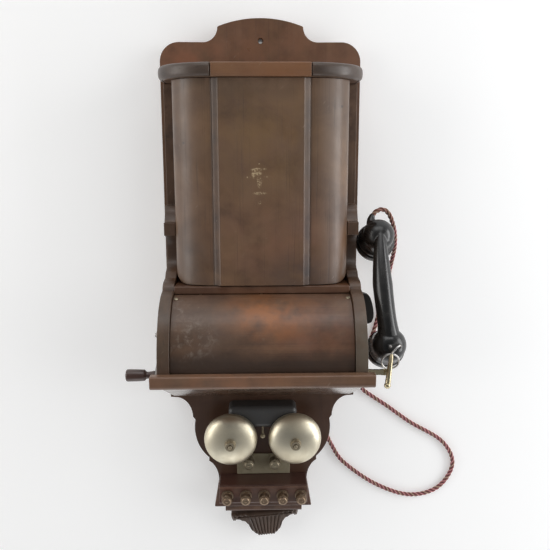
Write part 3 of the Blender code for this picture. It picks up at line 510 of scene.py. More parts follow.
def add_tube(bm, points, radii, sides=16, closed=False):
    """A round bar with a frame carried along its points, so that it doesn't twist."""
    points = [Vector(p) for p in points]
    count = len(points)
    ways = []
    for i in range(count):
        before = points[i - 1] if closed or i else points[0]
        after = points[(i + 1) % count] if closed or i < count - 1 else points[-1]
        ways.append((after - before).normalized())
    side = around(ways[0])[0]
    rings = []
    for point, way, radius in zip(points, ways, radii, strict=True):
        side = (side - way * side.dot(way)).normalized()
        other = way.cross(side)
        ring = []
        for k in range(sides):
            angle = 2 * math.pi * k / sides
            ring.append(bm.verts.new(point + (side * math.cos(angle) + other * math.sin(angle)) * radius))
        rings.append(ring)
    faces = []
    pairs = list(zip(rings, rings[1:], strict=False)) + ([(rings[-1], rings[0])] if closed else [])
    for a, b in pairs:
        faces += bridge(bm, a, b)
    if not closed:
        faces.append(bm.faces.new(rings[0]))
        faces.append(bm.faces.new(rings[-1]))
    bmesh.ops.recalc_face_normals(bm, faces=faces)


def add_box(bm, x, y, z, matrix=None):
    size = (x[1] - x[0], y[1] - y[0], z[1] - z[0])
    middle = ((x[0] + x[1]) / 2, (y[0] + y[1]) / 2, (z[0] + z[1]) / 2)
    placed = (matrix or Matrix.Identity(4)) @ Matrix.Translation(middle) @ Matrix.Diagonal((*size, 1.0))
    bmesh.ops.create_cube(bm, size=1.0, matrix=placed)


def applied(obj):
    """The object with its modifiers made real."""
    bpy.context.view_layer.update()
    evaluated = obj.evaluated_get(bpy.context.evaluated_depsgraph_get())
    mesh = bpy.data.meshes.new_from_object(evaluated)
    obj.modifiers.clear()
    obj.data = mesh
    return obj


def cut_away(obj, build):
    """Takes the shape made by build(bm) out of the object."""
    tool = new_mesh("cutter", build)
    cut = obj.modifiers.new("cut", "BOOLEAN")
    cut.operation = "DIFFERENCE"
    cut.solver = "EXACT"
    cut.object = tool
    applied(obj)
    bpy.data.objects.remove(tool, do_unlink=True)
    return obj


def place(obj, body, slot, material, *nodes):
    """Dresses a piece, hangs it on its body and lets it stand for CAD nodes."""
    obj.data.materials.clear()
    obj.data.materials.append(material)
    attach(obj, body)
    if nodes:
        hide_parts(*nodes)
    return obj


# ---- cord ----

CORD_Z = 0.0032
CORD_ROUTE = (
    (0.1336, 0.0828, 0.0446), (0.1386, 0.0846, 0.0432), (0.1438, 0.0838, 0.0416), (0.1484, 0.0802, 0.0398),
    (0.1522, 0.0742, 0.0374), (0.1556, 0.0662, 0.0342), (0.1586, 0.0568, 0.0300), (0.1606, 0.0460, 0.0248),
    (0.1614, 0.0345, 0.0188), (0.1611, 0.0235, 0.0124), (0.1603, 0.0130, 0.0068), (0.1590, 0.0020, 0.0038),
    (0.1565, -0.0110, CORD_Z), (0.1500, -0.0400, CORD_Z), (0.1420, -0.0720, CORD_Z),
    (0.1320, -0.1000, CORD_Z), (0.1240, -0.1240, CORD_Z), (0.1236, -0.1385, CORD_Z),
    (0.1300, -0.1505, CORD_Z), (0.1430, -0.1605, CORD_Z), (0.1620, -0.1735, CORD_Z),
    (0.1928, -0.1962, CORD_Z), (0.2360, -0.2235, CORD_Z), (0.2515, -0.2560, CORD_Z),
    (0.2330, -0.2890, CORD_Z), (0.1950, -0.2990, CORD_Z), (0.1490, -0.2825, CORD_Z),
    (0.1065, -0.2510, CORD_Z), (0.0905, -0.2270, CORD_Z)
)
NIPPLE_END = Vector((0.1293, 0.0786, 0.0462))
NIPPLE_WAY = Vector((0.60, 0.76, -0.25)).normalized()
GLAND_END = Vector((0.0835, -0.2115, 0.0045))
GLAND_WAY = Vector((0.38, -0.92, -0.05)).normalized()


def smooth_route(points, spacing):
    """Evenly spaced points of a Catmull-Rom curve through the given ones."""
    ends = [points[0] * 2 - points[1], *points, points[-1] * 2 - points[-2]]
    dense = []
    for a, b, c, d in zip(ends, ends[1:], ends[2:], ends[3:], strict=False):
        for i in range(40):
            t = i / 40
            dense.append(
                0.5 * (
                    2 * b + (c - a) * t + (
                        2 * a - 5 * b + 4 * c - d
                    ) * t**2 + (3 * b - a - 3 * c + d) * t**3
                )
            )
    dense.append(points[-1])
    total = sum((q - p).length for p, q in zip(dense, dense[1:], strict=False))
    count = round(total / spacing)
    chosen, walked, stop = [dense[0]], 0.0, 1
    for p, q in zip(dense, dense[1:], strict=False):
        step = (q - p).length
        while stop < count and walked + step >= total * stop / count:
            chosen.append(p.lerp(q, (total * stop / count - walked) / step))
            stop += 1
        walked += step
    return [*chosen, dense[-1]]


def cord():
    start = NIPPLE_END + NIPPLE_WAY * GAP
    end = GLAND_END + GLAND_WAY * GAP
    route = [
        start, start + NIPPLE_WAY * 0.002, *[Vector(p) for p in CORD_ROUTE], end + GLAND_WAY * 0.003, end
    ]
    path = smooth_route(route, 0.0009)
    length = sum((q - p).length for p, q in zip(path, path[1:], strict=False))
    pitch, strand, offset = 0.0180, 0.00142, 0.00142

    def build(bm):
        run = bm.loops.layers.uv.new("run")
        side = around(path[1] - path[0])[0]
        frames = []
        for before, here, after in zip([path[0], *path], path, [*path[1:], path[-1]], strict=False):
            way = (after - before).normalized()
            side = (side - way * side.dot(way)).normalized()
            frames.append((here, way, side.copy(), way.cross(side)))
        step = length / (len(path) - 1)
        sides = 9
        for k in range(3):
            rings = []
            for i, (here, way, side_way, other) in enumerate(frames):
                turn = 2 * math.pi * (i * step / pitch + k / 3)
                out = side_way * math.cos(turn) + other * math.sin(turn)
                across = way.cross(out)
                middle = here + out * offset
                ring = []
                for j in range(sides):
                    angle = 2 * math.pi * j / sides
                    ring.append(
                        bm.verts.new(middle + (out * math.cos(angle) + across * math.sin(angle)) * strand)
                    )
                rings.append(ring)
            for i, (a, b) in enumerate(zip(rings, rings[1:], strict=False)):
                for j, face in enumerate(bridge(bm, a, b)):
                    spots = ((i, j), (i, j + 1), (i + 1, j + 1), (i + 1, j))
                    for loop, (u, v) in zip(face.loops, spots, strict=True):
                        loop[run].uv = (u * step, v / sides + 10 * k)
            bm.faces.new(rings[0])
            bm.faces.new(reversed(rings[-1]))
        bmesh.ops.recalc_face_normals(bm, faces=bm.faces)

    obj = new_mesh("cord", build)
    obj.data.shade_smooth()
    place(obj, "handset", "plaited_cord", cord_look(), "handset_cord")


# ---- sizes shared with the CAD ----

BOARD_T = 0.020
ON_BOARD = 0.0203  # the foot of a piece that stands on the wall board
SIDE_IN, SIDE_OUT = 0.0972, 0.110
FRONT_Z = 0.098  # front of the battery cupboard's flat panel
MAGNETO = ((-0.078, 0.093), (0.078, 0.058))

WALNUT = ((0.050, 0.026, 0.015), (0.114, 0.060, 0.033), (0.188, 0.104, 0.058))
RED = ((0.070, 0.028, 0.013), (0.140, 0.057, 0.026), (0.215, 0.095, 0.045))
DEEP_RED = ((0.042, 0.019, 0.012), (0.088, 0.040, 0.025), (0.145, 0.071, 0.044))


# ---- wall board and case ----


def wall_board():
    half = [
        *arc((0, 0.165), (0.135, 0.135), 90, 69.5, 14),
        *arc((0.0655, 0.2905), (0.0167, 0.0167), 180, 270, 12),
        *arc((0.093, 0.252), (0.022, 0.022), 90, 0, 14), (0.115, -0.151),
        *arc((0.109, -0.178), (0.021, 0.0265), 90, 180, 16), (0.0855, -0.1810),
        *arc((0.041, -0.193), (0.0450, 0.051), 12, -52, 18), (0.0685, -0.2370),
        *arc((0.0765, -0.2640), (0.0200, 0.0280), 112, 180, 12), (0.0565, -0.2965)
    ]
    board = cut_board("backboard", mirrored(half), "xy", 0.0, BOARD_T)

    def holes(bm):
        cone = [(0.0, 0.012), (0.0046, 0.0012), (0.0026, -0.0016), (0.0026, -0.05), (0.0, -0.05)]
        add_turned(bm, cone, Matrix.Translation((0.0, 0.275, BOARD_T)), 32)
        add_box(bm, (0.066, 0.096), (-0.224, -0.190), (-0.001, 0.0105))

    rounded(cut_away(board, holes), 0.0013, 3, 50)
    tail = ((0.0, 0.262, 0.02), (0.13, 0.035, 0.03), (0.210, 0.098, 0.054), 0.75)
    ends = ((-0.085, 0.255, 0.02), (0.035, 0.018, 0.03), (0.27, 0.108, 0.058), 0.6)
    # The shade entry paints shade on the board below the writing slope, over the gongs and terminals.
    look = wood(
        "board_wood", *WALNUT, blotch=(0.140, 0.064, 0.038), patches=(tail, ends),
        shade=("Y", -0.135, -0.16, (0.056, 0.026, 0.017), 0.75), rough=0.36
    )
    place(board, "case", "walnut", look, "wall_board")


def magneto_edge(inset, start, end, count):
    (y, z), (a, b) = MAGNETO
    return arc((y, z), (a - inset, b - inset), start, end, count)


def side_boards():
    profile = [
        (0.2265, ON_BOARD), (0.2265, 0.034), (0.0912, 0.034), (0.0905, 0.0470),
        *softened([(0.0905, 0.0470), (0.0870, 0.0530), (0.0800, 0.0560), (0.0730, 0.0600)], 2)[1:],
        (0.0725, 0.0660), (0.0580, 0.0665), *arc((0.037, 0.0665), (0.021, 0.0205), 355, 188, 18),
        *softened([(0.0105, 0.0700), (0.0088, 0.0830), (0.0065, 0.0900), (0.0010, 0.0930)], 2),
        *magneto_edge(0.0, 6, 90, 30), (-0.0799, 0.151), (-0.1399, ON_BOARD)
    ]
    shared = {"grain": "y", "rough": 0.40, "cool": (0.062, 0.055, 0.044), "blotch": (0.062, 0.034, 0.024)}
    for name, sign in (("left", -1), ("right", 1)):
        low, high = sorted((sign * SIDE_IN, sign * SIDE_OUT))
        board = cut_board(f"cheek_{name}", profile, "yz", low, high)

        def holes(bm, sign=sign):
            if sign < 0:
                at = Matrix.Translation((-SIDE_OUT - 0.01, -0.052, 0.086)) @ TURN["x"]
                add_turned(bm, [(0.0, 0.04), (0.0075, 0.04), (0.0075, 0.0), (0.0, 0.0)], at, 32)
            else:
                add_box(bm, (0.08, 0.13), (-0.0872, -0.0735), (0.1275, 0.1345))

        rounded(cut_away(board, holes), 0.0011, 3, 50)
        # Painted glare: a greenish grey patch on the rounded top of each cheek by the magneto, strong on
        # the right and faint on the left.
        painted_glare = (
            (sign * 0.11, -0.050, 0.15), (0.02, 0.045, 0.05), (0.105, 0.092, 0.070),
            0.75 if sign > 0 else 0.25
        )
        look = wood(
            f"cheek_wood_{name}", *(tuple(0.70 * c for c in tone) for tone in WALNUT), patches=(painted_glare,),
            **shared
        )
        place(board, "case", "walnut", look, f"side_board_{name}")


def partition():
    board = block("partition", (-SIDE_IN + GAP, SIDE_IN - GAP), (-0.0031, 0.0054), (ON_BOARD, 0.0965))
    rounded(board, 0.0012)
    look = wood(
        "partition_wood", *(tuple(0.72 * c for c in tone) for tone in RED), grain="x",
        blotch=(0.065, 0.030, 0.018)
    )
    place(board, "case", "red_wood", look, "partition_board")


def magneto_panel():
    outer = magneto_edge(0.0035, 2, 90, 52)
    inner = magneto_edge(0.0085, 90, 3, 52)
    panel = cut_board("magneto_front", outer + inner, "yz", -SIDE_IN + GAP, SIDE_IN - GAP)
    rounded(panel, 0.0008, 2, 50)
    orange = ((0.006, -0.018, 0.138), (0.040, 0.018, 0.04), (0.33, 0.115, 0.030), 0.85)
    warm = ((0.055, -0.030, 0.145), (0.045, 0.032, 0.04), (0.185, 0.070, 0.036), 0.65)
    dull = ((-0.060, -0.030, 0.145), (0.036, 0.030, 0.04), (0.090, 0.056, 0.036), 0.6)
    # The shade entry paints shade on the top of the panel, next to the rail of the writing slope.
    look = wood(
        "magneto_wood", (0.040, 0.020, 0.012), (0.092, 0.047, 0.026), (0.165, 0.088, 0.048), grain="x",
        calm=0.5, cloud=1.1, patches=(dull, warm, orange),
        shade=("Y", -0.052, -0.066, (0.038, 0.023, 0.016), 0.85), rough=0.40, scuffs=0.55,
        scuff_at=(
            ((-0.075, -0.045, 0.15), (0.020, 0.022, 0.03)), ((-0.088, -0.012, 0.13), (0.008, 0.006, 0.03))
        )
    )
    place(panel, "case", "walnut", look, "magneto_panel")


def screw(name, at, way, radius, turn=0.6, height=0.001):
    """A domed screw head with a cut slot."""
    frame_turn = Vector((0, 0, 1)).rotation_difference(Vector(way)).to_matrix().to_4x4()
    matrix = Matrix.Translation(at) @ frame_turn @ Matrix.Rotation(turn, 4, "Z")
    dome = [(radius * math.sin(a), height * math.cos(a)) for a in (math.radians(9 * i) for i in range(11))]
    obj = new_mesh(name, lambda bm: add_turned(bm, [*dome[:-1], (radius, 0.0), (0.0, 0.0)], matrix, 28))
    cut_away(
        obj,
        lambda bm: add_box(
            bm, (-radius * 2, radius * 2), (-radius * 0.13, radius * 0.13), (height * 0.45, height * 3),
            matrix
        )
    )
    return rounded(obj, 0.0, angle=35)


def panel_screws():
    (y, z), (a, b) = MAGNETO
    angle = math.radians(15)
    a, b = a - 0.0035, b - 0.0035
    out = Vector((0.0, math.cos(angle) / a, math.sin(angle) / b)).normalized()
    for side, x, turn in (("left", -0.0935, 0.5), ("right", 0.0935, 1.9)):
        at = Vector((x, y + a * math.cos(angle), z + b * math.sin(angle))) + out * GAP
        place(
            screw(f"front_screw_{side}", at, out, 0.0024, turn), "case", "brass", OLD_NICKEL,
            f"panel_screw_{side}"
        )


def desk():
    slope = [(-0.090, 0.1505), (-0.150, 0.0205), (-0.1402, 0.0205), (-0.0802, 0.1505)]
    board = cut_board("slope_board", slope, "yz", -0.1105, 0.1105)
    rounded(board, 0.0009)
    look = wood("slope_wood", *WALNUT, grain="x", rough=0.26, coat=0.9)
    place(board, "writing_slope", "walnut", look, "desk_board")
    y, z = (-0.0900, -0.0756), (0.1513, 0.1620)
    section = [
        *arc((y[0] + 0.0030, z[0] + 0.0016), (0.0030, 0.0016), 180, 270, 5), (y[1] - 0.0008, z[0]),
        (y[1], z[0] + 0.0008), *arc((y[1] - 0.0020, z[1] - 0.0020), (0.0020, 0.0020), 0, 90, 6),
        *arc((y[0] + 0.0045, z[1] - 0.0045), (0.0045, 0.0045), 90, 180, 8)
    ]
    rail = cut_board("slope_rail", section, "yz", -0.1165, 0.1165)
    rounded(rail, 0.0009, 3, 50)
    look = wood(
        "rail_wood", (0.074, 0.038, 0.021), (0.152, 0.081, 0.046), (0.245, 0.140, 0.080), grain="x",
        rough=0.40, patches=(((-0.03, -0.083, 0.16), (0.075, 0.02, 0.02), (0.255, 0.115, 0.056), 0.6),)
    )
    place(rail, "writing_slope", "red_wood", look, "desk_rail")


# ---- battery cupboard ----

COVER_HALF, COVER_LOW, COVER_HIGH, COVER_R = 0.0964, 0.0065, 0.2262, 0.013


def battery_cover():
    half = [
        (0.0, FRONT_Z), (0.0150, FRONT_Z), (0.0300, FRONT_Z), (0.0448, FRONT_Z), (0.0456, 0.09775),
        (0.0459, 0.0971), (0.0464, 0.0968), (0.0490, 0.0958), (0.0514, 0.0949), (0.0518, 0.0944),
        (0.0522, 0.0942), (0.0526, 0.0946), (0.0534, 0.0949),
        *arc((0.052, 0.066), (0.0444, 0.029), 86, 0, 34), (COVER_HALF, 0.050), (COVER_HALF, 0.036),
        (COVER_HALF, 0.0215)
    ]
    line = [(-u, v) for u, v in reversed(half)][:-1] + half
    stations = [COVER_LOW + COVER_R * (1 - math.cos(math.radians(7.5 * i))) for i in range(13)]
    stations += [COVER_LOW + COVER_R + (COVER_HIGH - COVER_LOW - COVER_R) * i / 14 for i in range(1, 15)]

    def build(bm):
        rings = []
        for y in stations:
            reach = max(0.0, COVER_R - (y - COVER_LOW))
            limit = COVER_HALF - (COVER_R - math.sqrt(COVER_R**2 - reach**2))
            rings.append([bm.verts.new((max(-limit, min(limit, u)), y, v)) for u, v in line])
        for a, b in zip(rings, rings[1:], strict=False):
            bridge(bm, a, b, closed=False)
        bm.faces.new(rings[0])
        bm.faces.new(reversed(rings[-1]))
        bmesh.ops.recalc_face_normals(bm, faces=bm.faces)

    cover = new_mesh("battery_case", build)
    shell = cover.modifiers.new("shell", "SOLIDIFY")
    shell.thickness = 0.0048
    shell.offset = -1.0
    shell.use_even_offset = True
    rounded(applied(cover), 0.0011, 3, 52)
    gold = [
        (0.0, 0.0, 0.0085, 0.0013), (-0.0046, -0.0045, 0.0022, 0.0046), (0.0006, -0.0046, 0.0030, 0.0020),
        (0.0012, -0.0130, 0.0024, 0.0058), (0.0014, -0.0255, 0.0062, 0.0014),
        (0.0014, -0.0350, 0.0014, 0.0018), (-0.0105, -0.0085, 0.0022, 0.0008),
        (0.0085, -0.0080, 0.0020, 0.0008), (0.0010, 0.0055, 0.0012, 0.0006)
    ]
    spots = (
        ((-0.0832, 0.160, 0.085), (0.0013, 0.0013, 0.02)), ((0.0865, 0.198, 0.075), (0.0012, 0.0016, 0.02))
    )
    olive = ((0.000, 0.165, 0.098), (0.048, 0.058, 0.03), (0.168, 0.098, 0.042), 0.60)
    pinkish = ((0.020, 0.050, 0.098), (0.060, 0.040, 0.03), (0.185, 0.091, 0.057), 0.55)
    dark_patches_and_shadow = (
        ((0.040, 0.018, 0.098), (0.030, 0.022, 0.03), (0.054, 0.041, 0.037), 0.65),
        # Painted shadow of the base moulding, along the top of the cover.
        ((-0.010, 0.218, 0.098), (0.045, 0.012, 0.03), (0.066, 0.041, 0.026), 0.55),
        ((-0.075, 0.030, 0.080), (0.022, 0.030, 0.04), (0.070, 0.046, 0.035), 0.55)
    )
    # Painted shade: the chamfers beside the flat panel are darkened so that they read as dark lines.
    groove_shade = tuple(
        ((x, 0.116, 0.095), (0.0036, 0.3, 0.05), (0.038, 0.026, 0.024), 0.7) for x in (-0.0492, 0.0492)
    )
    look = wood(
        "cover_wood", (0.070, 0.037, 0.021), (0.138, 0.077, 0.043), (0.205, 0.119, 0.066), grain="y",
        rough=0.42, coat=0.18, calm=0.72, cloud=1.0, cloud_scale=20,
        patches=(olive, pinkish, *dark_patches_and_shadow, *groove_shade) + tuple(
            (c, r, (0.012, 0.009, 0.008), 1.6) for c, r in spots
        ),
        blotch=(0.108, 0.060, 0.038), gilding=((-0.0035, 0.1325, FRONT_Z), gold)
    )
    place(cover, "battery_door", "walnut", look, "battery_cover")


BASE_HALF, BASE_LOW, BASE_HIGH = 0.1068, 0.2268, 0.2415


def base_edge(outset, start, count):
    half = BASE_HALF + outset
    return arc((0.052, 0.055), (half - 0.052, FRONT_Z + outset - 0.055), start, 0, count)


def strip(name, path, section, y):
    """A moulding along a path in the XZ plane. The section lists (along Y, out of the path's left side)."""
    points = [Vector(p) for p in path]
    across = []
    for before, here, after in zip([points[0], *points], points, [*points[1:], points[-1]], strict=False):
        ways = [(q - p).normalized() for p, q in ((before, here), (here, after)) if q != p]
        mean = sum(ways, Vector((0.0, 0.0))).normalized()
        across.append(Vector((-mean.y, mean.x)) / mean.dot(ways[0]))

    def build(bm):
        rings = []
        for point, side in zip(points, across, strict=True):
            spots = [(point + side * out, along) for along, out in section]
            rings.append([bm.verts.new((spot.x, y + along, spot.y)) for spot, along in spots])
        for low, high in zip(rings, rings[1:], strict=False):
            bridge(bm, low, high)
        bm.faces.new(rings[0])
        bm.faces.new(reversed(rings[-1]))
        bmesh.ops.recalc_face_normals(bm, faces=bm.faces)

    return new_mesh(name, build)


def battery_base():
    half = [(0.0, FRONT_Z), *base_edge(0.0, 90, 28), (BASE_HALF, ON_BOARD)]
    board = rounded(cut_board("base", mirrored(half), "xz", BASE_LOW, BASE_HIGH), 0.0010)
    look = wood("base_wood", *WALNUT, grain="x", rough=0.42)
    place(board, "case", "walnut", look, "base_board")
    round_section = [
        (
            0.0073 * math.copysign(abs(math.cos(a)) ** 0.7, math.cos(a)), 0.0050 * abs(math.sin(a)) ** 0.85
        ) for a in (math.radians(180 * i / 16) for i in range(17))
    ]
    flat_section = [(0.0073, 0.0), (0.0073, 0.0034), (0.0066, 0.0045), (0.0052, 0.0050)]
    flat_section += [(-along, out) for along, out in reversed(flat_section)]
    middle = (BASE_LOW + BASE_HIGH) / 2
    top = FRONT_Z + GAP
    piece = strip("front_moulding_middle", [(-0.052, top), (0.0, top), (0.052, top)], flat_section, middle)
    rounded(piece, 0.0006, 2)
    look = wood(
        "middle_moulding_wood", (0.090, 0.036, 0.014), (0.175, 0.073, 0.028), (0.260, 0.120, 0.048),
        grain="x", blotch=(0.190, 0.078, 0.028), rough=0.48, coat=0.05, calm=0.6
    )
    place(piece, "case", "red_wood", look, "base_moulding_middle")
    line = [*base_edge(GAP, 89, 26), (0.1071, 0.040), (0.1071, ON_BOARD)]
    for side, path in (("right", line), ("left", [(-u, v) for u, v in reversed(line)])):
        piece = rounded(strip(f"front_moulding_{side}", path, round_section, middle), 0.0007, 2, 60)
        look = wood(
            f"moulding_wood_{side}", (0.036, 0.022, 0.015), (0.066, 0.043, 0.031), (0.110, 0.074, 0.054),
            grain="x", rough=0.40, coat=0.12, blotch=(0.070, 0.034, 0.020), cool=(0.062, 0.052, 0.044),
            cloud=0.9
        )
        place(piece, "case", "dark_wood", look, f"base_moulding_{side}")


# ---- crank ----

CRANK = Vector((0.0, -0.052, 0.086))
CRANK_ANGLE = math.radians(121.5)
CRANK_ARM = 0.0575


def crank():
    way = Vector((0.0, math.cos(CRANK_ANGLE), math.sin(CRANK_ANGLE)))
    side = Vector((0.0, -way.z, way.y))
    tip = CRANK + way * CRANK_ARM
    degrees = math.degrees(CRANK_ANGLE)

    def corner(along, across):
        spot = CRANK + way * along + side * across
        return (spot.y, spot.z)

    outline = [
        *arc((CRANK.y, CRANK.z), (0.0075, 0.0075), degrees + 90, degrees + 270, 20),
        corner(CRANK_ARM * 0.25, -0.0048), corner(CRANK_ARM * 0.6, -0.0041),
        *arc((tip.y, tip.z), (0.0050, 0.0050), degrees - 90, degrees + 90, 14),
        corner(CRANK_ARM * 0.6, 0.0041), corner(CRANK_ARM * 0.25, 0.0048)
    ]
    arm = rounded(cut_board("crank_lever", outline, "yz", -0.1140, -0.1109), 0.0006, 2, 50)
    place(arm, "crank", "steel", STEEL, "crank_arm")
    boss = [
        (0.0, 0.0), (0.0024, 0.0002), (0.0026, 0.0014), (0.0044, 0.0018), (0.0051, 0.0028),
        (0.0052, 0.0067), (0.0, 0.0067)
    ]
    at = (-0.1208, CRANK.y, CRANK.z)
    place(turned("crank_boss", boss, "x", at, 40, None, 0.0003), "crank", "steel", STEEL)
    pin = [(0.0, 0.0), (0.0015, 0.0001), (0.0022, 0.0009), (0.0022, 0.0325), (0.0, 0.0325)]
    at = (-0.14595, tip.y, tip.z)
    place(turned("grip_pin", pin, "x", at, 24), "crank", "steel", STEEL)
    bore = 0.0025
    grip = [
        (bore, 0.0306), (0.0044, 0.0306), (0.0046, 0.0300), (0.0046, 0.0286),
        *softened(
            [(0.0044, 0.0282), (0.0037, 0.0240), (0.0038, 0.0215), (0.0056, 0.0204), (0.0061, 0.0192)], 2
        ),
        (0.0065, 0.0110), (0.0066, 0.0032), *arc((0.0046, 0.0020), (0.0019, 0.0018), 10, -80, 6),
        (bore + 0.0004, 0.0), (bore, 0.0005)
    ]
    at = (-0.1450, tip.y, tip.z)
    look = wood(
        "grip_wood", (0.034, 0.016, 0.012), (0.066, 0.033, 0.026), (0.105, 0.058, 0.046), grain="x",
        rough=0.34, coat=0.5, blotch=(0.05, 0.028, 0.02), worn=(0.13, 0.08, 0.055)
    )
    place(turned("crank_handle", grip, "x", at, 48), "grip", "dark_wood", look, "crank_grip")


# ---- ringer, terminals and crest ----

GONG_R, GONG_RIM_Z, GONG_RISE, GONG_Y = 0.0325, 0.047, 0.017, -0.196


def gong_line(offset, count):
    points = []
    for i in range(count + 1):
        angle = math.radians(6 + 84 * i / count)
        radius = (GONG_R - offset) * math.sin(angle)
        points.append((radius, (GONG_RISE - offset) * math.cos(angle) ** 0.8))
    return points


def ringer():
    for side, x in (("left", -0.0394), ("right", 0.0394)):
        rim = [
            (GONG_R + 0.00015, 0.0004), (GONG_R + 0.00015, -0.0002), (GONG_R - 0.0004, -0.0005),
            (GONG_R - 0.0017, -0.0003)
        ]
        profile = [(0.0029, GONG_RISE), *gong_line(0.0, 40)[:-1], *rim]
        profile += [*reversed(gong_line(0.0018, 24)[:-1]), (0.0029, GONG_RISE - 0.0022)]
        gong = turned(f"bell_{side}", profile, "z", (x, GONG_Y, GONG_RIM_Z), 96)
        look = metal(
            f"bell_metal_{side}", (0.80, 0.74, 0.585), (0.56, 0.495, 0.36), 0.38, 0.6, 34, 300, 0.02, 0.10,
            0.0
        )
        place(gong, "case", "nickel", look, f"gong_{side}")
        top = GONG_RIM_Z + GONG_RISE - ON_BOARD
        post = [
            (0.0, top + 0.0081), (0.0010, top + 0.0081), (0.0013, top + 0.0085), (0.0022, top + 0.0080),
            (0.0022, top - 0.0030), (0.0045, top - 0.0035), (0.0045, 0.0040), (0.0085, 0.0036),
            (0.0085, 0.0), (0.0, 0.0)
        ]
        place(
            turned(f"bell_post_{side}", post, "z", (x, GONG_Y, ON_BOARD), 32), "case", "brass", OLD_NICKEL,
            f"gong_post_{side}"
        )
        nut = [
            (0.0025, 0.0060), (0.0032, 0.0067), (0.0046, 0.0069), (0.0055, 0.0067), (0.0061, 0.0059),
            (0.0061, 0.0018), (0.0056, 0.0013), (0.0068, 0.0008), (0.0069, 0.0), (0.0025, 0.0)
        ]
        at = (x, GONG_Y, GONG_RIM_Z + GONG_RISE + GAP)
        piece = turned(f"bell_nut_{side}", nut, "z", at, 64, (4, 5, 0.00032))
        place(piece, "case", "nickel", OLD_NICKEL, f"gong_nut_{side}")


def ringer_cover():
    """A pressed tin box over the coils, open at the back, with a slot for the hammer."""
    x, y, top, r = 0.042, (-0.184, -0.1565), 0.0445, 0.0062

    def build(bm):
        add_box(bm, (-x, x), y, (ON_BOARD - 0.012, top))

    cover = new_mesh("ringer_box", build)
    edge = cover.modifiers.new("round", "BEVEL")
    edge.width = r
    edge.segments = 8
    applied(cover)

    def inside(bm):
        add_box(bm, (-x + 0.0015, x - 0.0015), (y[0] + 0.0015, y[1] - 0.0015), (-0.02, top - 0.0015))
        edges = [e for e in bm.edges if e.verts[0].co.z > 0 or e.verts[1].co.z > 0]
        bmesh.ops.bevel(bm, geom=edges, offset=r - 0.0012, segments=6, affect="EDGES", profile=0.5)
        add_box(bm, (-0.1, 0.1), (-0.3, -0.1), (-0.1, ON_BOARD))
        add_box(bm, (-0.006, 0.006), (-0.19, -0.178), (0.0335, 0.0415))

    cut_away(cover, inside)
    rounded(cover, 0.0, angle=40)
    place(
        cover, "case", "japan", smooth_black("black_japan", 0.055, 0.36, 0.4, (0.060, 0.056, 0.050)),
        "ringer_cover"
    )


def hammer():
    x, y, z = 0.0, -0.166, 0.0375

    def build(bm):
        spine = [
            (x, y + 0.004, z), (x, y, z), (x, y - 0.010, z), (x, y - 0.014, z + 0.0003),
            (x, y - 0.0175, z + 0.0014), (x, y - 0.021, z + 0.0030), (x, y - 0.0245, z + 0.0048),
            (x, y - 0.028, z + 0.0062)
        ]
        add_tube(bm, spine, [0.0012] * len(spine), 12)
        ball = [(0.0031 * math.sin(a), 0.0031 * math.cos(a)) for a in (math.pi * i / 12 for i in range(13))]
        ball = [(0.0, 0.0031), *ball[1:-1], (0.0, -0.0031)]
        add_turned(bm, ball, Matrix.Translation((x, y - 0.028, 0.0440)), 24)

    piece = rounded(new_mesh("hammer_rod", build), 0.0, angle=45)
    place(piece, "hammer", "nickel", OLD_NICKEL, "clapper")


def knob(name, at, height, radius, look, *nodes):
    """A knurled terminal screw on a plain collar."""
    profile = [
        (0.0, height - 0.0006), (radius * 0.16, height - 0.0006), (radius * 0.22, height - 0.0001),
        (radius * 0.58, height), (radius * 0.68, height - 0.0005), (radius * 0.72, height - 0.0014),
        (radius * 0.92, height - 0.0018), (radius, height - 0.0030), (radius, 0.0056),
        (radius * 0.95, 0.0047), (radius * 0.76, 0.0042), (radius * 0.72, 0.0030), (radius * 0.80, 0.0020),
        (radius * 1.10, 0.0015), (radius * 1.12, 0.0010), (radius * 1.12, 0.0), (0.0, 0.0)
    ]
    piece = turned(name, profile, "z", at, 60, (6, 9, 0.00038))
    place(piece, "case", "brass", look, *nodes)


def arrester():
    plate = block("arrester_strip", (-0.0330, 0.0345), (-0.2555, -0.2285), (ON_BOARD, 0.0228))
    rounded(plate, 0.0005, 2)
    look = metal(
        "arrester_metal", (0.46, 0.41, 0.29), (0.27, 0.225, 0.145), 0.40, 0.6, 70, 380, 0.2, 0.3, 0.3, 0.45
    )
    place(plate, "case", "nickel", look, "arrester_plate")
    for side, x in (("left", -0.0177), ("right", 0.0150)):
        at = (x, -0.2355, 0.0231)
        knob(f"arrester_knob_{side}", at, 0.0180, 0.0071, OLD_NICKEL, f"arrester_terminal_{side}")


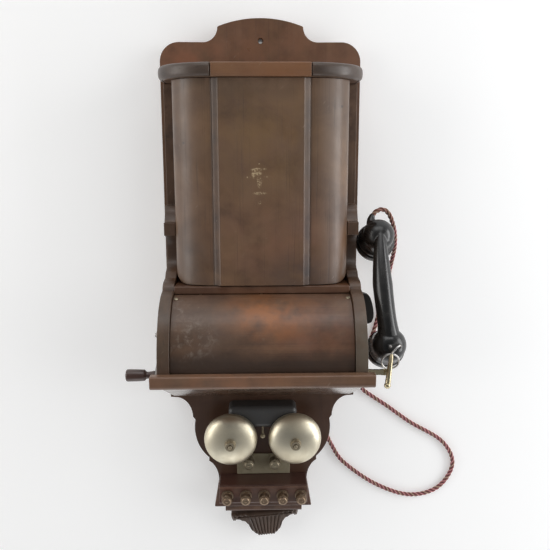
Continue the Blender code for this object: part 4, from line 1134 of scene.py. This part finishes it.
def terminal_strip():
    base = mirrored([(0.0, -0.2625), (0.0566, -0.2625), (0.0622, -0.2965), (0.0, -0.2965)])
    board = rounded(cut_board("terminal_board", base, "xy", ON_BOARD, 0.0310), 0.0016, 4)
    look = wood("terminal_board_wood", *DEEP_RED, grain="x", rough=0.36, worn=(0.16, 0.08, 0.055))
    place(board, "case", "walnut", look, "terminal_base")
    front, back, top = -0.2560, -0.2780, 0.0560
    section = [
        (front, ON_BOARD), (front, top - 0.0050), (front - 0.0013, top - 0.0046),
        (front - 0.0015, top - 0.0038), (front - 0.0012, top - 0.0032), (front, top - 0.0030),
        *arc((front - 0.0016, top - 0.0016), (0.0016, 0.0016), 0, 90, 6),
        *arc((back + 0.0022, top - 0.0022), (0.0022, 0.0022), 90, 180, 6), (back, 0.0313),
        (-0.2622, 0.0313), (-0.2622, ON_BOARD)
    ]
    piece = rounded(cut_board("terminal_rail", section, "yz", -0.0545, 0.0550), 0.0006, 2, 50)
    # The shade entry paints shade on the block's front face, below the groove under its top edge.
    look = wood(
        "terminal_wood", (0.050, 0.020, 0.014), (0.105, 0.045, 0.030), (0.165, 0.082, 0.055), grain="x",
        rough=0.36, shade=("Z", 0.0535, 0.0515, (0.040, 0.014, 0.011), 0.75)
    )
    place(piece, "case", "red_wood", look, "terminal_block")
    look = metal("line_knob_metal", (0.36, 0.27, 0.19), (0.17, 0.11, 0.075), 0.36, 0.8, 90, 520, 0.25)
    for i in range(5):
        at = (0.0012 + 0.0227 * (i - 2), -0.2668, 0.0563)
        knob(f"line_knob_{i + 1}", at, 0.0150, 0.0066, look, f"line_terminal_{i + 1}")


def crest():
    y, z = (-0.3066, -0.2968), (0.001, 0.0255)
    section = [
        (y[1], z[0]), (y[1], z[1]), (y[0] + 0.0030, z[1]),
        *arc((y[0] + 0.0030, z[1] - 0.0030), (0.0030, 0.0030), 90, 180, 6), (y[0], z[1] - 0.0060),
        *arc((y[0] + 0.0002, z[1] - 0.0090), (0.0018, 0.0030), 90, -90, 8)[1:-1], (y[0], z[1] - 0.0120),
        (y[0], z[0])
    ]
    piece = rounded(cut_board("crest_rail", section, "yz", -0.0485, 0.0500), 0.0008, 2, 50)
    look = wood("crest_rail_wood", *DEEP_RED, grain="x", rough=0.34)
    place(piece, "case", "dark_wood", look, "crest_moulding")
    carving()


def carving():
    """Fluted drop with a volute at either end, carved in relief."""
    line = [
        (0.0, 0.0333), (0.0102, 0.0333), (0.0132, 0.0306), (0.0179, 0.0267), (ON_BOARD, 0.0219),
        (0.0222, 0.0163), (0.0262, 0.0124), (0.0324, 0.0093), (0.0369, 0.0075), (0.0388, 0.0092),
        (0.0420, 0.0090), (0.0436, 0.0050), (0.0437, 0.0020)
    ]

    def depth(x):
        x = abs(x)
        for (a, low), (b, high) in zip(line, line[1:], strict=False):
            if a <= x <= b:
                t = (x - a) / (b - a) if b > a else 0.0
                return low + (high - low) * t
        return line[-1][1]

    columns, rows = 176, 44
    low, top = 0.003, 0.022
    turn = Matrix.Translation((0.0017, -0.3112, 0.0)) @ Matrix.Rotation(math.radians(5.2), 4, "Z")

    def height(x, along, deep):
        """Front of the carving at a distance x from its middle, and along from its straight edge."""
        edge = min(along, deep - along, 0.0437 - abs(x))
        roll = 0.0030 * (1 - min(1.0, max(0.0, edge) / 0.0030)) ** 2
        if abs(x) > 0.0355:
            reach = math.hypot(abs(x) - 0.0402, along - 0.0050)
            return top - roll - 0.0018 * (0.5 - 0.5 * math.cos(reach / 0.0052 * math.pi * 2))
        fan = x / max(0.35, 1.0 - along / 0.075)
        flute = abs(math.cos(math.pi * fan / 0.0058)) ** 0.9
        share = max(
            0.0, min(1.0, (0.0235 - abs(x)) / 0.004)
        ) * min(1.0, max(0.0, (along - 0.0042) / 0.0025))
        step = 0.0016 if 0.0030 < along < 0.0046 else 0.0
        leaf = 0.0012 * abs(
            math.sin(math.pi * (abs(x) - 0.0235) / 0.0065)
        ) * (1 - share) if abs(x) > 0.0235 else 0.0
        return top - roll - 0.0021 * (1 - flute) * share - step - leaf

    def build(bm):
        grid = []
        for i in range(columns + 1):
            x = -0.0437 + 0.0874 * i / columns
            deep = depth(x)
            column = []
            for j in range(rows + 1):
                along = deep * (0.5 - 0.5 * math.cos(math.pi * j / rows))
                column.append(bm.verts.new(turn @ Vector((x, -along, height(x, along, deep)))))
            grid.append(column)
        for a, b in zip(grid, grid[1:], strict=False):
            for j in range(rows):
                bm.faces.new((a[j], b[j], b[j + 1], a[j + 1]))
        edge = [c[0] for c in grid] + grid[-1][1:] + [
            c[-1] for c in reversed(grid[:-1])
        ] + list(reversed(grid[0][1:-1]))
        foot = [bm.verts.new((v.co.x, v.co.y, low)) for v in edge]
        bridge(bm, edge, foot)
        bm.faces.new(foot)
        bmesh.ops.recalc_face_normals(bm, faces=bm.faces)

    piece = rounded(new_mesh("carved_crest", build), 0.0, angle=50)
    look = wood(
        "carving_wood", (0.046, 0.028, 0.020), (0.095, 0.060, 0.044), (0.150, 0.100, 0.074), grain="y",
        rough=0.42, blotch=(0.060, 0.036, 0.024), worn=(0.17, 0.11, 0.08)
    )
    place(piece, "case", "dark_wood", look, "crest_carving")


# ---- hook and handset ----


def hook():
    x, y, z = 0.078, -0.0825, 0.131
    near, far = Vector((0.1368, -0.0610, 0.1365)), Vector((0.1338, -0.0930, 0.1365))

    def build(bm):
        outline = [
            (x - 0.006, y - 0.0035), (0.1120, y - 0.0035), (0.1180, y - 0.0029), (0.1260, y - 0.0029),
            *arc((0.1310, y), (0.0036, 0.0035), -90, 90, 10), (0.1260, y + 0.0029), (0.1180, y + 0.0029),
            (0.1120, y + 0.0035), (x - 0.006, y + 0.0035)
        ]
        low = [bm.verts.new((u, v, z - 0.0006)) for u, v in outline]
        high = [bm.verts.new((u, v, z + 0.002)) for u, v in outline]
        bm.faces.new(reversed(low))
        bm.faces.new(high)
        bridge(bm, low, high)
        neck = [
            (0.0, 0.0061), (0.0026, 0.0058), (0.0030, 0.0045), (0.0026, 0.0030), (0.0026, 0.0024),
            (0.0032, 0.0020), (0.0032, 0.0004), (0.0, 0.0)
        ]
        add_turned(bm, neck, Matrix.Translation((0.1330, y, z - 0.0006)), 28)
        count = 18
        spine = [near.lerp(far, i / count) for i in range(count + 1)]
        radii = [0.0021 + 0.0010 * (i / count) for i in range(count + 1)]
        radii[0], radii[1] = 0.0012, 0.0019
        add_tube(bm, spine, radii, 20)
        ball = [
            (0.0, 0.0036),
            *[
                (
                    0.0036 * math.sin(a), 0.0036 * math.cos(a)
                ) for a in (math.pi * i / 14 for i in range(1, 14))
            ],
            (0.0, -0.0036)
        ]
        add_turned(bm, ball, Matrix.Translation(far + Vector((-0.0004, -0.0030, 0.0))), 28)

    piece = rounded(new_mesh("switch_hook", build), 0.0, angle=40)
    look = metal("hook_brass", (0.70, 0.62, 0.42), (0.36, 0.27, 0.15), 0.24, 0.5, 110, 600, 0.25)
    place(piece, "hook", "brass", look, "hook_lever")


def rest_bracket():
    outline = [
        (0.1103, -0.0080), (0.1160, -0.0080),
        *softened(
            [(0.1160, -0.0080), (0.1230, -0.0105), (0.1268, -0.0210), (0.1290, -0.0350), (0.1262, -0.0425)],
            2
        )[1:],
        (0.1230, -0.0440), (0.1103, -0.0460)
    ]
    piece = rounded(cut_board("rest_bracket", outline, "xy", 0.0660, 0.0740), 0.0014, 3, 40)
    place(piece, "case", "ebonite", smooth_black("bracket_black", 0.012, 0.42), "handset_rest")


HANDSET_AT = (0.1350, 0.0564, 0.0544)
HANDSET_TURN = math.radians(2.1)
HANDSET_LEAN = math.radians(26.5)
HANDSET = (
    Matrix.Translation(HANDSET_AT) @ Matrix.Rotation(HANDSET_TURN, 4, "Z") @ Matrix.Rotation(
        -HANDSET_LEAN, 4, "X"
    )
)
SPAN = 0.128
BACK = 0.0173
HANDLE_TOP = 0.0168
HANDLE_REACH = 0.0112
HANDLE_BOW = 0.0018
CUP_TOP = 0.0165
CUP_FOOT = -0.0203
MOUTH_R = 0.0212
EAR_R = 0.0202
CAP_TOP = -0.0205
CAP_FOOT = -0.0308


def handset():
    def build(bm):
        points, radii = [], []
        for i in range(49):
            t = i / 48
            swell = min(1.0, 2 * t + 0.02) ** 0.35 - 0.05 * max(0.0, math.sin(math.pi * (2 * t - 1)))
            bow = math.sin(math.pi * t)
            top = HANDLE_TOP + HANDLE_BOW * bow - 0.02 * max(0.0, t - 0.9)
            reach = HANDLE_REACH * swell * (1 + 0.28 * max(0.0, (t - 0.78) / 0.22) ** 2)
            radii.append(reach)
            points.append(HANDSET @ Vector((-0.0022 * bow, -t * (SPAN - 0.002), top - reach)))
        add_tube(bm, points, radii, 32)
        for y, waist, radius in ((0.0, 0.0182, MOUTH_R), (-SPAN, 0.0188, EAR_R)):
            dome = [(0.0, CUP_TOP)]
            for i in range(1, 11):
                a = math.radians(9 * i)
                dome.append((waist * math.sin(a) ** 0.95, CUP_TOP * math.cos(a) if i < 10 else 0.0))
            dome += [
                (waist, -0.0040), (waist * 1.01, -0.0085), (waist * 1.04, -0.0115),
                (radius - 0.0004, -0.0135), (radius, -0.0142), (radius, CUP_FOOT), (0.0, CUP_FOOT)
            ]
            add_turned(bm, dome, HANDSET @ Matrix.Translation((0.0, y, 0.0)), 56)
        root, bend = HANDSET @ Vector((-0.003, 0.004, 0.0)), NIPPLE_END - NIPPLE_WAY * 0.010
        nipple = []
        for i in range(13):
            t = i / 12
            nipple.append(root * (1 - t) ** 2 + bend * (2 * t * (1 - t)) + NIPPLE_END * t**2)
        add_tube(bm, nipple, [0.0080 - 0.0046 * min(1.0, i / 11) for i in range(13)], 24)

    body = new_mesh("handset_body", build)
    melt = body.modifiers.new("one_piece", "REMESH")
    melt.mode = "VOXEL"
    melt.voxel_size = 0.0007
    melt.use_smooth_shade = True
    ease = body.modifiers.new("eased", "SMOOTH")
    ease.factor = 0.6
    ease.iterations = 8
    applied(body)
    body.data.shade_smooth()
    look = smooth_black("ebonite", 0.008, 0.21, 0.15)
    look.node_tree.nodes["Principled BSDF"].inputs["Specular IOR Level"].default_value = 0.6
    place(body, "handset", "ebonite", look, "handset_handle")
    for name, y, inner, outer in (("mouth_cap", 0.0, MOUTH_R, 0.0226), ("ear_cap", -SPAN, EAR_R, 0.0217)):
        top = CAP_TOP - GAP
        profile = [
            (0.0, top), (inner + 0.0003, top), (outer - 0.0006, top - 0.0006), (outer, top - 0.0014),
            (outer, top - 0.0030), (outer - 0.0009, top - 0.0034), (outer - 0.0010, top - 0.0042),
            (outer - 0.0001, top - 0.0047), (outer, top - 0.0056), (outer, CAP_FOOT),
            (outer - 0.0006, -0.0322), (outer - 0.0020, -0.0331), (outer - 0.0040, -0.0332),
            (0.0150, -0.0331), (0.0130, -0.0322), (0.0060, -0.0309), (0.0, CAP_FOOT)
        ]
        cap = turned(name, profile, HANDSET @ Matrix.Translation((0.0, y, 0.0)), (0, 0, 0), 72)
        cut_away(cap, lambda bm, y=y: holes_in_cap(bm, y))
        rounded(cap, 0.0, angle=32)
        node = "transmitter_cap" if y == 0.0 else "receiver_cap"
        place(cap, "handset", "ebonite", look, node)
    hanger()


def holes_in_cap(bm, y):
    """A middle hole and a ring of six for the sound."""
    spots = [(0.0, 0.0, 0.0016)] + [
        (0.0075 * math.cos(a), 0.0075 * math.sin(a), 0.0012) for a in (math.pi * i / 3 for i in range(6))
    ]
    for u, v, radius in spots:
        at = HANDSET @ Matrix.Translation((u, y + v, -0.036))
        add_turned(bm, [(0.0, 0.008), (radius, 0.008), (radius, 0.0), (0.0, 0.0)], at, 20)


def hanger():
    """An eye plate on the receiver's back, and a bright wire from it that holds the ring."""
    y = -SPAN
    outline = [
        *arc((0.0078, y - 0.0063), (0.0017, 0.0017), -90, 0, 5),
        *arc((0.0078, y - 0.0042), (0.0017, 0.0017), 0, 90, 5),
        *arc((-0.0033, y - 0.0042), (0.0017, 0.0017), 90, 180, 5),
        *arc((-0.0033, y - 0.0063), (0.0017, 0.0017), 180, 270, 5)
    ]
    slope = math.radians(14.5)
    near = Vector((0.1374, -0.0627, 0.1310))
    away = Vector((0.0, -math.cos(slope), -math.sin(slope)))
    middle = near + away * 0.0093

    def plate(bm):
        add_slab(bm, outline, lambda u, v, w: HANDSET @ Vector((u, v, w)), BACK, BACK + 0.0018)

    piece = rounded(new_mesh("hanger_plate", plate), 0.0005, 2, 50)
    place(piece, "handset", "ebonite", smooth_black("plate_black", 0.014, 0.35))

    def wire(bm):
        spots = [Vector((0.0076, y - 0.0045, BACK + 0.0020)), Vector((0.0052, y - 0.0062, BACK + 0.0027))]
        spots += [Vector((0.0030, y - 0.0080, BACK + 0.0024)), Vector((0.0008, y - 0.0102, BACK + 0.0012))]
        spots = [HANDSET @ spot for spot in spots] + [near - away * 0.0008]
        spine = smooth_route(spots, 0.0007)
        add_tube(bm, spine, [0.0010] * len(spine), 14)
        ring = []
        for i in range(56):
            a = 2 * math.pi * i / 56
            ring.append(middle + away * (0.0093 * math.cos(a)) + Vector((0.0093 * math.sin(a), 0.0, 0.0)))
        add_tube(bm, ring, [0.0010] * 56, 12, closed=True)

    piece = rounded(new_mesh("hanger_ring", wire), 0.0, angle=40)
    place(piece, "handset", "steel", BRIGHT, "handset_hanger")
    for side, x in (("left", -0.0025), ("right", 0.0076)):
        up = HANDSET.to_3x3() @ Vector((0, 0, 1))
        head = screw(
            f"plate_screw_{side}", HANDSET @ Vector((x, y - 0.0052, BACK + 0.0018)), up, 0.0016, 0.4, 0.0008
        )
        place(head, "handset", "steel", STEEL)


def gland():
    at = GLAND_END - GLAND_WAY * 0.010
    turn = Vector((0, 0, 1)).rotation_difference(GLAND_WAY).to_matrix().to_4x4()
    profile = [
        (0.0, 0.0), (0.0040, 0.0), (0.0042, 0.0006), (0.0042, 0.0050), (0.0038, 0.0056), (0.0038, 0.0080),
        (0.0033, 0.0096), (0.0028, 0.0100), (0.0, 0.0100)
    ]
    piece = turned("cord_bush", profile, turn, at, 32)
    place(piece, "case", "ebonite", smooth_black("bush_black", 0.014, 0.45), "cord_gland")


# ---- pieces kept from the CAD ----


def dress(material, *nodes):
    for name in nodes:
        data = NODES[name].data
        data.materials.clear()
        data.materials.append(material)


def kept_nodes():
    dress(card_look(), "dry_cell_left", "dry_cell_right")
    dress(wire_look(), "ringer_coil_left", "ringer_coil_right", "induction_coil")
    dress(
        BRASS, "main_gear", "generator_plate_left", "generator_plate_right", "crank_bush", "switch_springs"
    )
    dress(STEEL, "armature", "crank_shaft", "hook_pin", "ringer_yoke")
    paint = metal("magnet_steel", (0.20, 0.20, 0.21), (0.12, 0.06, 0.035), 0.42, 0.7, 50, 400, 0.2)
    dress(paint, "magnet_1", "magnet_2")


def floor():
    def build(bm):
        bmesh.ops.create_grid(bm, x_segments=8, y_segments=8, size=3.0)

    obj = new_mesh("floor", build)
    look = Look("paper", 0.9)
    grain = look.noise(3.0, 3, 0.5)
    look.set("Base Color", look.ramp(grain, [(0.3, (0.80, 0.803, 0.806)), (0.7, (0.82, 0.822, 0.824))]))
    look.set("Emission Color", (1.0, 0.995, 0.985, 1.0))
    look.set("Emission Strength", 0.27)
    obj.data.materials.append(look.material)


BRASS = metal("old_brass", (0.58, 0.46, 0.25), (0.25, 0.165, 0.085), 0.33, 0.6, 80, 500, 0.2)
STEEL = metal("dull_steel", (0.34, 0.33, 0.32), (0.17, 0.12, 0.09), 0.38, 0.6, 80, 500, 0.2)
BRIGHT = metal("bright_steel", (0.62, 0.61, 0.60), (0.35, 0.32, 0.28), 0.22, 0.4, 90, 500, 0.1)
OLD_NICKEL = metal(
    "old_nickel", (0.46, 0.40, 0.29), (0.21, 0.165, 0.105), 0.34, 0.7, 110, 520, 0.2, 0.45, 0.6, 0.75
)

camera()
cord()
studio()
floor()
wall_board()
side_boards()
partition()
magneto_panel()
panel_screws()
desk()
battery_cover()
battery_base()
crank()
ringer()
ringer_cover()
hammer()
arrester()
terminal_strip()
crest()
hook()
rest_bracket()
handset()
gland()
kept_nodes()
